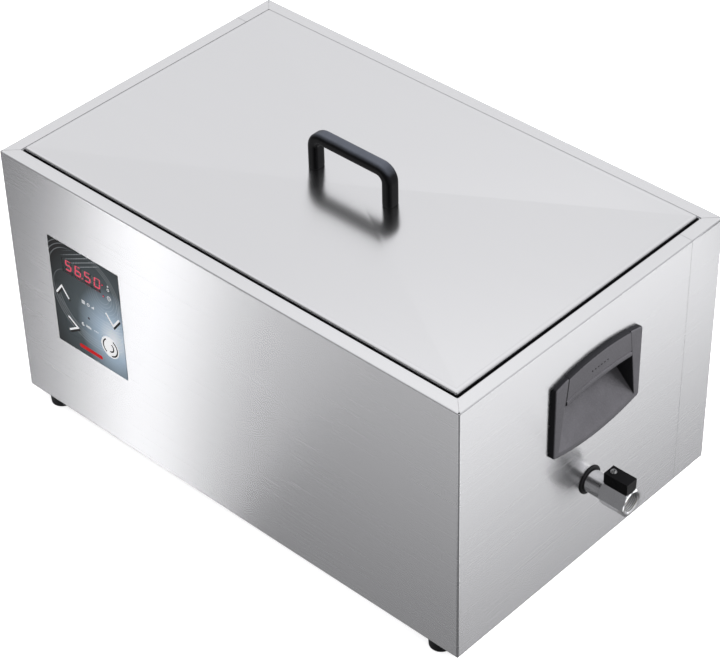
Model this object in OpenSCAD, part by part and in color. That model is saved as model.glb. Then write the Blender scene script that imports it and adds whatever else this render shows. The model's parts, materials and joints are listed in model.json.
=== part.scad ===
// Counter-top sous vide water bath: a stainless housing round a full-size gastronorm tank, with a
// lift-off lid, recessed side handles, a membrane control panel, a stirring pump and a drain valve.
// Millimetres. X runs along the housing towards the drain valve, the control panel faces -Y and
// the feet stand on Z = 0. The origin is the centre of the whole part's footprint.

/* [Housing] */
// Length of the housing along X
body_l = 564; // [550:1:600]
// Depth of the housing along Y
body_w = 356; // [350:1:380]
// Height of the housing without its feet
body_h = 282; // [270:1:300]
// Thickness of the steel sheet
sheet = 1; // [0.8:0.1:1.2]
// Outside radius of the bends
bend_r = 2; // [1.6:0.1:3]
// Width of the top flange round the opening
flange_w = 14; // [13:0.5:16]
// Distance from the back of the housing to the seam on each side
seam_in = 46; // [40:1:60]

/* [Feet] */
// Height of the rubber feet
foot_h = 12; // [10:1:16]
// Diameter of a foot at its top
foot_d = 24; // [20:1:26]
// Inset of the feet from the ends of the housing
foot_in_x = 31; // [28:1:40]
// Inset of the feet from the front and back
foot_in_y = 13.5; // [13:0.5:18]

/* [Tank] */
// Length of the well
well_l = 500; // [490:1:505]
// Width of the well
well_w = 292; // [280:1:295]
// Radius of the well's upright corners
well_r = 30; // [20:1:40]
// Depth of the ledge that carries the lid, below the flange
ledge_drop = 10; // [9:0.5:12]
// Depth of the well below the ledge
well_depth = 191.5; // [180:0.5:192]
// Thickness of the insulation
lagging = 11; // [8:0.5:11]

/* [Lid] */
// Length of the lid
lid_l = 530; // [528:0.5:530]
// Width of the lid
lid_w = 323; // [321:0.5:323]
// Height of the lid's rim above the flange
lid_rise = 3; // [2:0.5:5]
// Depth of the cross-broken dish at the centre of the lid
lid_dish = 5.5; // [3:0.5:6]

/* [Lid handle] */
// Length of the handle over its legs
grip_l = 102.5; // [90:0.5:130]
// Width of the handle
grip_w = 13; // [11:0.5:16]
// Top of the handle above the flange
grip_rise = 39; // [34:0.5:45]
// Thickness of the handle's bar
grip_t = 9.5; // [8:0.5:11]

/* [Control panel] */
// Width of the panel
panel_w = 96; // [94:1:110]
// Height of the panel
panel_h = 124; // [120:1:130]
// Distance from the housing's left end to the panel
panel_x = 56.5; // [50:0.5:70]
// Distance from the housing's lower edge to the panel
panel_z = 89; // [85:0.5:95]
// Thickness of the panel's film
film_t = 0.5; // [0.4:0.1:0.6]

/* [Side handles] */
// Width of a side handle's frame
handle_w = 119; // [119:0.5:124]
// Height of the frame's straight ends
handle_side_h = 77; // [77:0.5:80]
// How much the frame's top and bottom edges bow out
handle_bow = 7.8; // [7:0.1:9]
// Middle of the handle above the housing's lower edge
handle_z = 196.5; // [188:0.5:198]
// How far the frame stands out of the wall
handle_out = 5; // [4.5:0.1:5.5]
// Depth of the finger recess behind the wall
scoop_in = 24; // [20:0.5:25]

/* [Drain valve] */
// Height of the valve's axis above the housing's lower edge
drain_z = 91; // [90.5:0.5:92]
// Distance from the wall to the hexagon
hex_start = 20; // [18:0.1:20.5]
// Distance from the wall to the valve's mouth
hex_end = 47.6; // [47:0.1:49]
// Hexagon's width across its flats
hex_af = 25; // [25:0.5:27]
// Radius of the mouth's thread, at its crests
mouth_r = 9.3; // [9.3:0.05:9.35]
// Radius of the ball
ball_r = 7.7; // [7.6:0.05:7.8]
// Distance from the wall to the end of the lever
lever_end = 46.5; // [44:0.5:47.5]

/* [Hidden] */

$fn = 48;
eps = 0.1;          // overshoot of a cutting tool
fit = 0.05;         // radial clearance of a running fit
gap = 0.15;         // hairline gap round the keys and the handle's grip

// Heights
z0 = foot_h;                        // lower edge of the housing
zt = foot_h + body_h;               // top of the flange
ledge_z = zt - ledge_drop;          // upper face of the tank's ledge
floor_z = ledge_z - well_depth;     // inside floor of the tank
plate_z = z0 + sheet;               // lower face of the base plate
plate_t = 1.2;
deck_z = plate_z + plate_t;         // upper face of the base plate
rim_z = zt + lid_rise;              // rim of the lid

// The whole part's box, which is centred on the origin
inlet_out = 3;
inlet_screw_out = 1.8;
lip_out = handle_out + 1;
x_lo = -(body_l / 2 + lip_out);
x_hi = body_l / 2 + max(hex_end, lever_end);
y_lo = -(body_w / 2 + film_t);
y_hi = body_w / 2 + inlet_out + inlet_screw_out;
shift_x = -(x_lo + x_hi) / 2;
shift_y = -(y_lo + y_hi) / 2;

// Housing
wall_x = body_l / 2;                // outer face of an end wall
wall_y = body_w / 2;                // outer face of the front and back
seam_y = wall_y - seam_in;
open_l = body_l - 2 * flange_w;     // opening in the top flange
open_w = body_w - 2 * flange_w;
lower_flange = 24;
mitre_slit = 0.3;
seam_gap = 0.3;
base_screw_x = [-190, -60, 60, 190];
base_screw_in = 12;
foot_x = wall_x - foot_in_x;
foot_y = wall_y - foot_in_y;

// Tank
step_l = open_l - 2;                // inside of the step under the flange's edge
step_w = open_w - 2;
hem = 10;                           // width of the tank's rim under the flange
false_z = floor_z + 26;             // lower face of the false bottom
false_l = 480;
false_w = 272;
probe_z = 106;

// Lid
skirt_z = ledge_z + 2;              // lower edge of the lid's skirt
lid_screw_x = grip_l / 2 - 4.5;
washer_z = rim_z - lid_dish - sheet - 0.1;
handle_bend = 17;                   // outside radius of the handle's bends
handle_hollow = 9;                  // and inside

// Control panel
px = -wall_x + panel_x;             // left edge of the panel
pz = z0 + panel_z;                  // lower edge of the panel
face_y = -wall_y;                   // outer face of the front
inner_y = face_y + sheet;           // inner face of the front
board_y = face_y + 9.6;             // front face of the control board
board_t = 1.6;
chevron_key = [21, 20];             // width and height of the up and down keys
right_key = [21, 24];
power_key_r = 13.5;
up_at = [px + 13.5, pz + 65];       // centres of the keys, in X and Z
down_at = [px + 82.5, pz + 65];
right_at = [px + 24.5, pz + 28.3];
power_at = [px + 75.3, pz + 29];
window_at = [px + 44, pz + 98.6];
window_size = [53, 15.5];
led_at = [[px + 48.2, pz + 49.6], [px + 73.5, pz + 102.3], [px + 73.5, pz + 89.2]];
led_r = 1.3;
key_at = [up_at, down_at, right_at, power_at];
key_t = 0.9;
stem_r = 2;
switch_size = 12;
switch_t = 5.1;
digit_pitch = 13.2;
seg_l = 4.6;
seg_t = 1.1;
board_x0 = px + 2;                  // edges of the control board
board_x1 = px + panel_w - 2;
board_z0 = pz + 3;
board_z1 = pz + panel_h - 3;
board_corners = [for (x = [board_x0 + 4, board_x1 - 4], z = [board_z0 + 4, board_z1 - 4]) [x, z]];
probe_x = px + 48.5;

// Power board, relay and leads
pb_lo = [40, -50];
pb_hi = [200, 60];
pb_z = deck_z + 8;
pb_corners = [for (x = [pb_lo[0] + 6, pb_hi[0] - 6], y = [pb_lo[1] + 6, pb_hi[1] - 6]) [x, y]];
ribbon_w = 24;
ribbon_t = 1.2;
ribbon_turn = -24;                  // middle of the ribbon's run along X
ribbon_y = board_y + board_t + 1.2;
ribbon_z = pb_z + board_t + 6;
sink_lo = [-70, 66];
relay_x = [sink_lo[0] + 22, sink_lo[0] + 58];
relay_y = sink_lo[1] + 40;
relay_top = deck_z + 29;
stud_at = [-120, 130];              // earth stud
inlet_x = -180;
inlet_z = 60;
pin_back_y = wall_y - 26;           // ends of the inlet's pins
pin_tip_y = wall_y - 1.6;
socket_y = wall_y + inlet_out - 15.5;
lead_r = 1.6;

// Side handles
half_h = handle_side_h / 2;
bow_r = (pow(handle_w / 2, 2) + pow(handle_bow, 2)) / (2 * handle_bow);
hz = z0 + handle_z;                 // middle of a side handle
bow_drop = bow_r - half_h - handle_bow;     // how far a bow's centre lies beyond the middle
mouth_low_y = 52;                   // half width of the recess at its lower corners
mouth_top_y = 46;                   // and at the grip's lower edge
mouth_band = 6.2;                   // height of the frame under the recess
grip_low = 16;                      // lower edge of the grip above the handle's middle
scoop_slope = 50 / 29;              // rise of the recess's floor for each mm inwards
scoop_wall = 2;
cut_y = 54;                         // cut-out of the wall behind a handle
cut_lo = -37;
cut_hi = 36.5;
clamp_y = 56.8;

// Drain valve
dz = z0 + drain_z;                  // height of the valve's axis
stem_x = wall_x + 26;               // axis of the stem and the middle of the ball
spigot_r = 10.45;
waterway_r = 5;
chamber_r = 8.4;
seat_in = 5.6;                      // from the stem's axis to a seat
seat_t = 4;
retainer_t = 2;
chamber_lo = stem_x - seat_in - seat_t;
chamber_hi = stem_x + seat_in + seat_t + retainer_t;
stem_rod_r = 2.5;
neck_top = dz + 15;
neck_r = 5;
lever_lo = dz + 13.1;               // lower edge of the lever's skirts
lever_hi = dz + 24.3;
lever_half = 6.8;
lever_back = 5.6;                   // from the stem's axis to the lever's near end
lever_wall = 1.4;

// Pump
pump_x = -150;
pump_y = 60;
motor_lo = 36;
shaft_r = 3;

// Arc of a circle as points, from angle a to angle b
function arc(cx, cy, r, a, b, n) =
    [for (i = [0:n]) [cx + r * cos(a + (b - a) * i / n), cy + r * sin(a + (b - a) * i / n)]];

// Outline of a rectangle with round corners, centred
function rounded(l, w, r, n = 4) = concat(
    arc(l / 2 - r, w / 2 - r, r, 0, 90, n), arc(r - l / 2, w / 2 - r, r, 90, 180, n),
    arc(r - l / 2, r - w / 2, r, 180, 270, n), arc(l / 2 - r, r - w / 2, r, 270, 360, n));

// Height of the dished lid at a distance x along its length from the middle
function dish_z(x) = rim_z - lid_dish * (1 - x / (lid_l / 2 - 4));

// Everything is drawn about the middle of the housing and then moved to the part's own origin
module place() translate([shift_x, shift_y, 0]) children();

module block(lo, hi) translate(lo) cube(hi - lo);

module upright(l, w, r, lo, hi, n = 4)
    translate([0, 0, lo]) linear_extrude(height = hi - lo) polygon(rounded(l, w, r, n));

module rod_x(y, z, r, lo, hi) translate([lo, y, z]) rotate([0, 90, 0]) cylinder(r = r, h = hi - lo);
module rod_y(x, z, r, lo, hi) translate([x, hi, z]) rotate([90, 0, 0]) cylinder(r = r, h = hi - lo);
module rod_z(x, y, r, lo, hi) translate([x, y, lo]) cylinder(r = r, h = hi - lo);

// Hexagonal bars, with two flats square to Z or to Y
module hex_x(y, z, af, lo, hi)
    translate([lo, y, z]) rotate([0, 90, 0]) rotate([0, 0, 30])
        cylinder(r = af / 2 / cos(30), h = hi - lo, $fn = 6);
module hex_y(x, z, af, lo, hi)
    translate([x, hi, z]) rotate([90, 0, 0]) cylinder(r = af / 2 / cos(30), h = hi - lo, $fn = 6);

// Copies in all four corners
module four() for (a = [0, 1], b = [0, 1]) mirror([a, 0, 0]) mirror([0, b, 0]) children();

// A box with every edge rounded, as three crossed prisms
module bent_box(l, w, lo, hi, r) {
    h = hi - lo;
    translate([0, 0, lo + h / 2]) intersection() {
        linear_extrude(height = h, center = true) polygon(rounded(l, w, r));
        rotate([90, 0, 0]) linear_extrude(height = w + 2, center = true) polygon(rounded(l, h, r));
        rotate([90, 0, 90]) linear_extrude(height = l + 2, center = true) polygon(rounded(w, h, r));
    }
}

// Housing ------------------------------------------------------------------------------------

// The housing's whole skin before it is divided at the seam
module skin() difference() {
    bent_box(body_l, body_w, z0, zt, bend_r);
    bent_box(body_l - 2 * sheet, body_w - 2 * sheet, z0 + sheet, zt - sheet, bend_r - sheet);
    block([-open_l / 2, -open_w / 2, zt - 5], [open_l / 2, open_w / 2, zt + 1]);
    block([lower_flange - wall_x, lower_flange - wall_y, z0 - 1],
        [wall_x - lower_flange, wall_y - lower_flange, z0 + 5]);
    four() translate([open_l / 2 - 1, open_w / 2 - 1, zt - sheet - eps]) rotate([0, 0, 45])
        translate([0, -mitre_slit / 2, 0]) cube([(flange_w - 1) * sqrt(2), mitre_slit, 5]);
    four() rod_z(wall_x - 1.7, wall_y - 1.7, 0.9, zt - 2.2, zt + 1);
    four() translate([wall_x - lower_flange - 1, wall_y - lower_flange - 1, z0 - 1])
        rotate([0, 0, 45]) translate([0, -mitre_slit / 2, 0])
            cube([(lower_flange - 1) * sqrt(2), mitre_slit, sheet + 1 + eps]);
    four() rod_z(foot_x, foot_y, 2.2, z0 - 1, z0 + 5);
    base_screw_places() rod_z(0, 0, 2.2, z0 - 1, z0 + 5);
}

module base_screw_places()
    for (x = base_screw_x, s = [-1, 1]) translate([x, s * (wall_y - base_screw_in), 0]) children();

module front_wrap() color("gainsboro") place() difference() {
    skin();
    block([-wall_x - 1, seam_y - seam_gap / 2, z0 - 1], [wall_x + 1, wall_y + 1, zt + 1]);
    panel_cutouts();
    for (s = [0, 1]) mirror([s, 0, 0]) {
        block([wall_x - 5, -cut_y, hz + cut_lo], [wall_x + 1, cut_y, hz + cut_hi]);
        clamp_places() rod_x(0, 0, 1.7, wall_x - 5, wall_x + 1);
    }
    rod_x(0, dz, 12.1, wall_x - 5, wall_x + 1);
}

module rear_wrap() color("gainsboro") place() difference() {
    skin();
    block([-wall_x - 1, -wall_y - 1, z0 - 1], [wall_x + 1, seam_y + seam_gap / 2, zt + 1]);
    block([inlet_x - 14, wall_y - 5, inlet_z - 10.6], [inlet_x + 14, wall_y + 1, inlet_z + 10.6]);
    for (s = [-1, 1]) rod_y(inlet_x + s * 20, inlet_z, 1.7, wall_y - 5, wall_y + 1);
}

// Bottom of the housing, with two fields of cooling slots under the electronics and the pump
module base_plate() color("silver") place() difference() {
    upright(body_l - 2 * bend_r - 1, body_w - 2 * bend_r - 1, 1, plate_z, deck_z);
    four() rod_z(foot_x, foot_y, 2.2, 0, 50);
    base_screw_places() rod_z(0, 0, 2.2, 0, 50);
    for (x = [pump_x, 120], i = [-3:3])
        block([x + 10 * i - 2, -110, 0], [x + 10 * i + 2, -70, 50]);
}

module base_screws() color("silver") place() base_screw_places() union() {
    rod_z(0, 0, 3.5, z0 - 2, z0);
    rod_z(0, 0, 2, z0 - eps, z0 + 9);
}

module feet() color("black") place() four() translate([foot_x, foot_y, 0]) difference() {
    cylinder(r1 = foot_d / 2 - 0.8, r2 = foot_d / 2, h = foot_h);
    rod_z(0, 0, 4.2, -1, 6.5);
    rod_z(0, 0, 2.2, 0, foot_h + 1);
}

module foot_screws() color("silver") place() four() translate([foot_x, foot_y, 0]) union() {
    rod_z(0, 0, 3.8, 4.2, 6.5);
    rod_z(0, 0, 2, 6, z0 + 9);
}

// Tank ---------------------------------------------------------------------------------------

module tank() color("lightgray") place() difference() {
    union() {
        upright(step_l + 2 * sheet + 2 * hem, step_w + 2 * sheet + 2 * hem, 2,
            zt - 2 * sheet, zt - sheet);
        upright(step_l + 2 * sheet, step_w + 2 * sheet, 3, ledge_z - sheet, zt - 1.5 * sheet);
        upright(well_l + 2 * sheet, well_w + 2 * sheet, well_r + sheet, floor_z - sheet,
            ledge_z - sheet / 2, 10);
    }
    upright(step_l, step_w, 2, ledge_z, zt + 1);
    upright(well_l, well_w, well_r, floor_z, ledge_z + 1, 10);
    rod_x(0, dz, 8, well_l / 2 - 5, well_l / 2 + 5);
    rod_z(pump_x, pump_y, 9.2, floor_z - 5, floor_z + 5);
    rod_y(probe_x, probe_z, 5.2, -well_w / 2 - 5, -well_w / 2 + 5);
}

// Soft seal on the ledge: a flat foot under the lid's skirt and a lip in the gap round it
module lid_seal() color("black") place() difference() {
    upright(step_l - 0.4, step_w - 0.4, 2, ledge_z, zt - 1.4);
    upright(lid_l + 1.2, lid_w + 1.2, 2, ledge_z + 2, zt + 1);
    upright(well_l + 6, well_w + 6, well_r, ledge_z - 1, zt, 8);
}

module insulation() color("khaki") place() difference() {
    upright(well_l + 2 * sheet + 2 * lagging, well_w + 2 * sheet + 2 * lagging, well_r + lagging,
        floor_z + 8, ledge_z - 4, 8);
    upright(well_l + 2 * sheet + 0.4, well_w + 2 * sheet + 0.4, well_r + sheet, 0, zt, 8);
    for (s = [0, 1]) mirror([s, 0, 0])
        block([well_l / 2 - 2, -cut_y - 4, hz + cut_lo - 4], [wall_x, cut_y + 4, hz + cut_hi + 4]);
    rod_x(0, dz, 16, well_l / 2 - 2, wall_x);
    rod_y(probe_x, probe_z, 12, -wall_y, -well_w / 2);
}

// Heating mat stuck under the tank's floor, open round the pump
module heater_mat() color("orange") place() difference() {
    upright(430, 230, 12, floor_z - sheet - 2.5, floor_z - sheet);
    rod_z(pump_x, pump_y, 41, 0, zt);
}

module safety_thermostat() color("white") place() union() {
    rod_z(110, -60, 8, floor_z - sheet - 10, floor_z - sheet - 2.5);
    block([98, -64, floor_z - sheet - 4], [122, -56, floor_z - sheet - 2.5]);
    for (s = [-1, 1])
        block([110 + 4 * s - 0.4, -62, floor_z - sheet - 18],
            [110 + 4 * s + 0.4, -58, floor_z - sheet - 9]);
}

module temperature_probe() color("silver") place() union() {
    rod_y(probe_x, probe_z, 3, -well_w / 2 - 13, -well_w / 2 + 50);
    translate([probe_x, -well_w / 2 + 50, probe_z]) sphere(r = 3);
}

// Compression gland that holds the probe in the tank's front wall
module probe_gland() color("goldenrod") place() difference() {
    union() {
        rod_y(probe_x, probe_z, 5, -well_w / 2 - 4, -well_w / 2 + 1);
        hex_y(probe_x, probe_z, 14, -well_w / 2 - 8, -well_w / 2 - sheet);
        hex_y(probe_x, probe_z, 13, -well_w / 2, -well_w / 2 + 4);
    }
    rod_y(probe_x, probe_z, 3 + fit, -wall_y, 0);
}

// Perforated plate on two folded legs that keeps the food off the pump and the probe
module false_bottom() color("silver") place() difference() {
    union() {
        upright(false_l, false_w, 22, false_z, false_z + 1.2, 8);
        for (s = [-1, 1])
            block([s * 205 - 0.6, -100, floor_z + 0.02], [s * 205 + 0.6, 100, false_z + 0.6]);
    }
    for (i = [-5:5], j = [-2:2])
        if (abs(i) < 5 || abs(j) > 0) rod_z(40 * i, 48 * j, 6, false_z - 3, false_z + 3);
    for (s = [-1, 1]) rod_z(s * 200, 0, 12.5, false_z - 1, false_z + 3);
    for (y = [-60, 0, 60]) block([-wall_x, y - 18, floor_z + 6], [wall_x, y + 18, floor_z + 16]);
}

// Lid ----------------------------------------------------------------------------------------

// The space above the dished top: a shallow pyramid on its point, reaching 1 mm over the rim
module dish(drop) {
    k = (lid_dish + 1) / lid_dish;
    a = k * (lid_l / 2 - 4);
    b = k * (lid_w / 2 - 4);
    translate([0, 0, rim_z - drop]) polyhedron(
        points = [[-a, -b, 1], [a, -b, 1], [a, b, 1], [-a, b, 1], [0, 0, -lid_dish]],
        faces = [[3, 2, 1, 0], [0, 1, 4], [1, 2, 4], [2, 3, 4], [3, 0, 4]]);
}

module lid_panel() color("gainsboro") place() difference() {
    bent_box(lid_l, lid_w, skirt_z - 10, rim_z, bend_r);
    block([-lid_l, -lid_w, 0], [lid_l, lid_w, skirt_z]);
    dish(0);
    difference() {
        block([sheet - lid_l / 2, sheet - lid_w / 2, 0],
            [lid_l / 2 - sheet, lid_w / 2 - sheet, rim_z - sheet]);
        dish(sheet);
    }
    for (s = [-1, 1]) rod_z(s * lid_screw_x, 0, 2.6, 0, zt + 20);
}

// Bridge handle whose legs follow the slope of the lid
module lid_handle() color("dimgray") place() difference() {
    rotate([90, 0, 0]) linear_extrude(height = grip_w, center = true) {
        top = zt + grip_rise;
        low = top - grip_t;
        a = grip_l / 2;
        b = a - 9;
        r = handle_bend;
        q = handle_hollow;
        polygon(concat(
            [[a, dish_z(a)]], arc(a - r, top - r, r, 0, 90, 10), arc(r - a, top - r, r, 90, 180, 10),
            [[-a, dish_z(a)], [-b, dish_z(b)]], arc(q - b, low - q, q, 180, 90, 6),
            arc(b - q, low - q, q, 90, 0, 6), [[b, dish_z(b)]]));
    }
    for (s = [-1, 1]) rod_z(s * lid_screw_x, 0, 2.05, zt - 10, zt + 12);
}

module lid_handle_screws() color("silver") place()
    for (s = [-1, 1]) translate([s * lid_screw_x, 0, 0]) union() {
        rod_z(0, 0, 3.8, washer_z - 3.4, washer_z - 1);
        rod_z(0, 0, 2, washer_z - 2, zt + 10);
    }

module lid_handle_washers() color("silver") place() for (s = [-1, 1]) difference() {
    rod_z(s * lid_screw_x, 0, 5, washer_z - 1, washer_z);
    rod_z(s * lid_screw_x, 0, 2.1, 0, zt);
}

// Control panel ------------------------------------------------------------------------------

// A rounded plate square to Y, centred on at = [x, z]
module tile(at, size, r, lo, hi) translate([at[0], hi, at[1]]) rotate([90, 0, 0])
    linear_extrude(height = hi - lo) polygon(rounded(size[0], size[1], r));

// The keys' outlines, grown by g
module key_blank(i, g, lo, hi) {
    if (i == 0) tile(up_at, chevron_key + [2 * g, 2 * g], 4 + g, lo, hi);
    if (i == 1) tile(down_at, chevron_key + [2 * g, 2 * g], 4 + g, lo, hi);
    if (i == 2) tile(right_at, right_key + [2 * g, 2 * g], 4 + g, lo, hi);
    if (i == 3) rod_y(power_at[0], power_at[1], power_key_r + g, lo, hi);
}

// Openings in the front behind the film
module panel_cutouts() {
    for (i = [0:3]) key_blank(i, 0.4, face_y - 1, inner_y + 2);
    tile(window_at, window_size + [0.4, 0.4], 0.6, face_y - 1, inner_y + 2);
    for (p = led_at) rod_y(p[0], p[1], led_r + 0.3, face_y - 1, inner_y + 2);
}

module control_overlay() color("darkslategray") place() difference() {
    block([px, face_y - film_t, pz], [px + panel_w, face_y, pz + panel_h]);
    for (i = [0:3]) key_blank(i, gap, face_y - 2, face_y + 1);
    tile(window_at, window_size + [0.2, 0.2], 0.5, face_y - 2, face_y + 1);
    for (p = led_at) rod_y(p[0], p[1], led_r + 0.15, face_y - 2, face_y + 1);
}

// A key: its face and the plunger that works the switch behind it
module key(i) color("slategray") place() union() {
    key_blank(i, 0, face_y - film_t, face_y - film_t + key_t);
    rod_y(key_at[i][0], key_at[i][1], stem_r, face_y - film_t + key_t / 2, board_y - switch_t + 1.2);
}
module key_up() key(0);
module key_down() key(1);
module key_right() key(2);
module key_power() key(3);

module tact_switches() color("black") place() for (p = key_at) difference() {
    block([p[0] - switch_size / 2, board_y - switch_t, p[1] - switch_size / 2],
        [p[0] + switch_size / 2, board_y, p[1] + switch_size / 2]);
    rod_y(p[0], p[1], stem_r + fit, board_y - switch_t - 1, board_y - switch_t + 3);
}

module display_window() color("firebrick", 0.6) place()
    tile(window_at, window_size, 0.4, face_y - film_t, inner_y);

module display_module() color("black") place()
    tile(window_at, window_size + [3, 4.5], 0.5, inner_y + 0.6, board_y);

// Four seven-segment digits as light bars on the module's face
module digit_segments() color("red") place() for (i = [0:3])
    translate([window_at[0] + (i - 1.5) * digit_pitch, inner_y + 0.6, window_at[1]]) rotate([90, 0, 0])
        linear_extrude(height = 0.4) {
            for (z = [-1, 0, 1])
                translate([0, z * (seg_l + seg_t)]) square([seg_l, seg_t], center = true);
            for (x = [-1, 1], z = [-0.5, 0.5])
                translate([x * (seg_l + seg_t + 0.4) / 2, z * (seg_l + seg_t)])
                    square([seg_t, seg_l - 0.2], center = true);
        }

module indicator_leds() color("red") place()
    for (p = led_at) rod_y(p[0], p[1], led_r, face_y - film_t, board_y);

module control_board() color("darkgreen") place() difference() {
    union() {
        block([board_x0, board_y, board_z0], [board_x1, board_y + board_t, board_z1]);
        block([window_at[0] - 12, board_y + 1, window_at[1] - 16],
            [window_at[0] + 12, board_y + board_t + 2, window_at[1] + 4]);
        block([probe_x - 14, board_y + 1, board_z0 + 1],
            [probe_x + 14, board_y + board_t + 3, board_z0 + 7]);
    }
    for (p = board_corners) rod_y(p[0], p[1], 1.6, -wall_y, 0);
}

// The control board stands on the front, the power board on the base plate under the tank
module board_standoffs() color("silver") place() {
    for (p = board_corners) difference() {
        rod_y(p[0], p[1], 3, inner_y, board_y);
        rod_y(p[0], p[1], 1.3, board_y - 6, board_y + 1);
    }
    for (p = pb_corners) difference() {
        rod_z(p[0], p[1], 3, deck_z, pb_z);
        rod_z(p[0], p[1], 1.3, pb_z - 6, pb_z + 1);
    }
}

module board_screws() color("silver") place() {
    for (p = board_corners) union() {
        rod_y(p[0], p[1], 2.6, board_y + board_t, board_y + board_t + 1.8);
        rod_y(p[0], p[1], 1.25, board_y - 5, board_y + board_t + 1);
    }
    for (p = pb_corners) union() {
        rod_z(p[0], p[1], 2.6, pb_z + board_t, pb_z + board_t + 1.8);
        rod_z(p[0], p[1], 1.25, pb_z - 5, pb_z + board_t + 1);
    }
}

// Flat cable from the control board, down behind the front and under the tank to the power board
module ribbon_cable() color("lightgray") place() union() {
    x0 = probe_x - ribbon_w / 2;
    y1 = ribbon_turn + ribbon_w / 2;
    block([x0, ribbon_y, ribbon_z], [x0 + ribbon_w, ribbon_y + ribbon_t, board_z0 + 1]);
    block([x0, ribbon_y, ribbon_z], [x0 + ribbon_w, y1, ribbon_z + ribbon_t]);
    block([x0, y1 - ribbon_w, ribbon_z], [pb_lo[0] + 12, y1, ribbon_z + ribbon_t]);
}

// Electrics ----------------------------------------------------------------------------------

module power_board() color("darkgreen") place() difference() {
    union() {
        block([pb_lo[0], pb_lo[1], pb_z], [pb_hi[0], pb_hi[1], pb_z + board_t]);
        block([pb_lo[0] + 3, ribbon_turn - 14, pb_z + 1], [pb_lo[0] + 12, ribbon_turn + 14, ribbon_z]);
        block([110, -20, pb_z + 1], [150, 20, pb_z + 32]);
        for (y = [-24, 0, 24]) rod_z(178, y, 9, pb_z + 1, pb_z + 28);
        block([70, 40, pb_z + 1], [150, 52, pb_z + 14]);
        for (x = [66, 90]) block([x, -30, pb_z + 1], [x + 16, -2, pb_z + 18]);
    }
    for (p = pb_corners) rod_z(p[0], p[1], 1.6, 0, 60);
}

module heat_sink() color("gray") place() union() {
    block([sink_lo[0], sink_lo[1], deck_z], [sink_lo[0] + 80, sink_lo[1] + 60, deck_z + 4]);
    for (i = [0:3], s = [0, 1])
        block([sink_lo[0], sink_lo[1] + s * 52 + 2 * i + i * 0.4, deck_z + 3],
            [sink_lo[0] + 80, sink_lo[1] + s * 52 + 2 * i + i * 0.4 + 0.8, deck_z + 26]);
}

module solid_state_relay() color("black") place() union() {
    block([sink_lo[0] + 11, sink_lo[1] + 11, deck_z + 4],
        [sink_lo[0] + 69, sink_lo[1] + 49, deck_z + 26]);
    for (x = [22, 58], y = [20, 40])
        rod_z(sink_lo[0] + x, sink_lo[1] + y, 3.5, deck_z + 25, deck_z + 29);
}

// Three-pin appliance inlet: an outer flange, a shrouded socket and three flat pins
module mains_inlet() color("black") place() union() {
    difference() {
        union() {
            block([inlet_x - 25, wall_y, inlet_z - 11.5],
                [inlet_x + 25, wall_y + inlet_out, inlet_z + 11.5]);
            block([inlet_x - 13.6, wall_y - 19, inlet_z - 10.2],
                [inlet_x + 13.6, wall_y + 1, inlet_z + 10.2]);
        }
        translate([inlet_x, wall_y + 9, inlet_z]) rotate([90, 0, 0])
            linear_extrude(height = wall_y + 9 - socket_y)
                polygon([[-12, -8], [12, -8], [12, 3.5], [7.5, 8], [-7.5, 8], [-12, 3.5]]);
        for (s = [-1, 1]) rod_y(inlet_x + s * 20, inlet_z, 1.6, wall_y - 1, wall_y + 9);
    }
    for (p = [[-7, -2], [7, -2], [0, 3]])
        block([inlet_x + p[0] - 1, pin_back_y, inlet_z + p[1] - 2],
            [inlet_x + p[0] + 1, pin_tip_y, inlet_z + p[1] + 2]);
}

module inlet_screws() color("silver") place() for (s = [-1, 1])
    translate([inlet_x + s * 20, wall_y + inlet_out, inlet_z]) union() {
        rod_y(0, 0, 2.8, 0, inlet_screw_out);
        rod_y(0, 0, 1.5, -9, 0.5);
    }

module earth_stud() color("goldenrod") place() union() {
    rod_z(stud_at[0], stud_at[1], 2, deck_z, deck_z + 14);
    rod_z(stud_at[0], stud_at[1], 4.5, deck_z, deck_z + 1);
    translate([stud_at[0], stud_at[1], deck_z + 3]) cylinder(r = 4, h = 3, $fn = 6);
}

// An eight-sided lead that runs straight from point to point, lapped by its radius at each corner
module lead(points, r) for (i = [0:len(points) - 2]) {
    a = points[i];
    d = points[i + 1] - a;
    lap_a = i > 0 ? r : 0;
    lap_b = i < len(points) - 2 ? r : 0;
    translate(a) rotate([0, acos(d[2] / norm(d)), atan2(d[1], d[0])])
        translate([0, 0, -lap_a]) cylinder(r = r, h = norm(d) + lap_a + lap_b, $fn = 8);
}

// Live to the relay and on to the heater, neutral to the power board, earth to its stud
module mains_leads() color("saddlebrown") place() {
    neutral_x = 100;
    neutral_y = 140;
    terminal_y = 46;
    earth_y = 146;
    earth_z = 34;
    lead([[inlet_x - 7, pin_back_y, inlet_z - 2], [inlet_x - 7, relay_y, inlet_z - 2],
        [relay_x[0], relay_y, inlet_z - 2], [relay_x[0], relay_y, relay_top]], lead_r);
    lead([[relay_x[1], relay_y, relay_top], [relay_x[1], relay_y, floor_z - sheet - 2.5]], lead_r);
    lead([[inlet_x + 7, pin_back_y, inlet_z - 2], [inlet_x + 7, neutral_y, inlet_z - 2],
        [neutral_x, neutral_y, inlet_z - 2], [neutral_x, terminal_y, inlet_z - 2],
        [neutral_x, terminal_y, pb_z + 14]], lead_r);
    lead([[inlet_x, pin_back_y, inlet_z + 3], [inlet_x, earth_y, inlet_z + 3],
        [stud_at[0], earth_y, inlet_z + 3], [stud_at[0], earth_y, earth_z],
        [stud_at[0], stud_at[1], earth_z], [stud_at[0], stud_at[1], deck_z + 14]], lead_r);
}

// Side handles -------------------------------------------------------------------------------
// Drawn on the right-hand wall; u is the distance out of the wall and v the height above the
// handle's middle.

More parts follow.
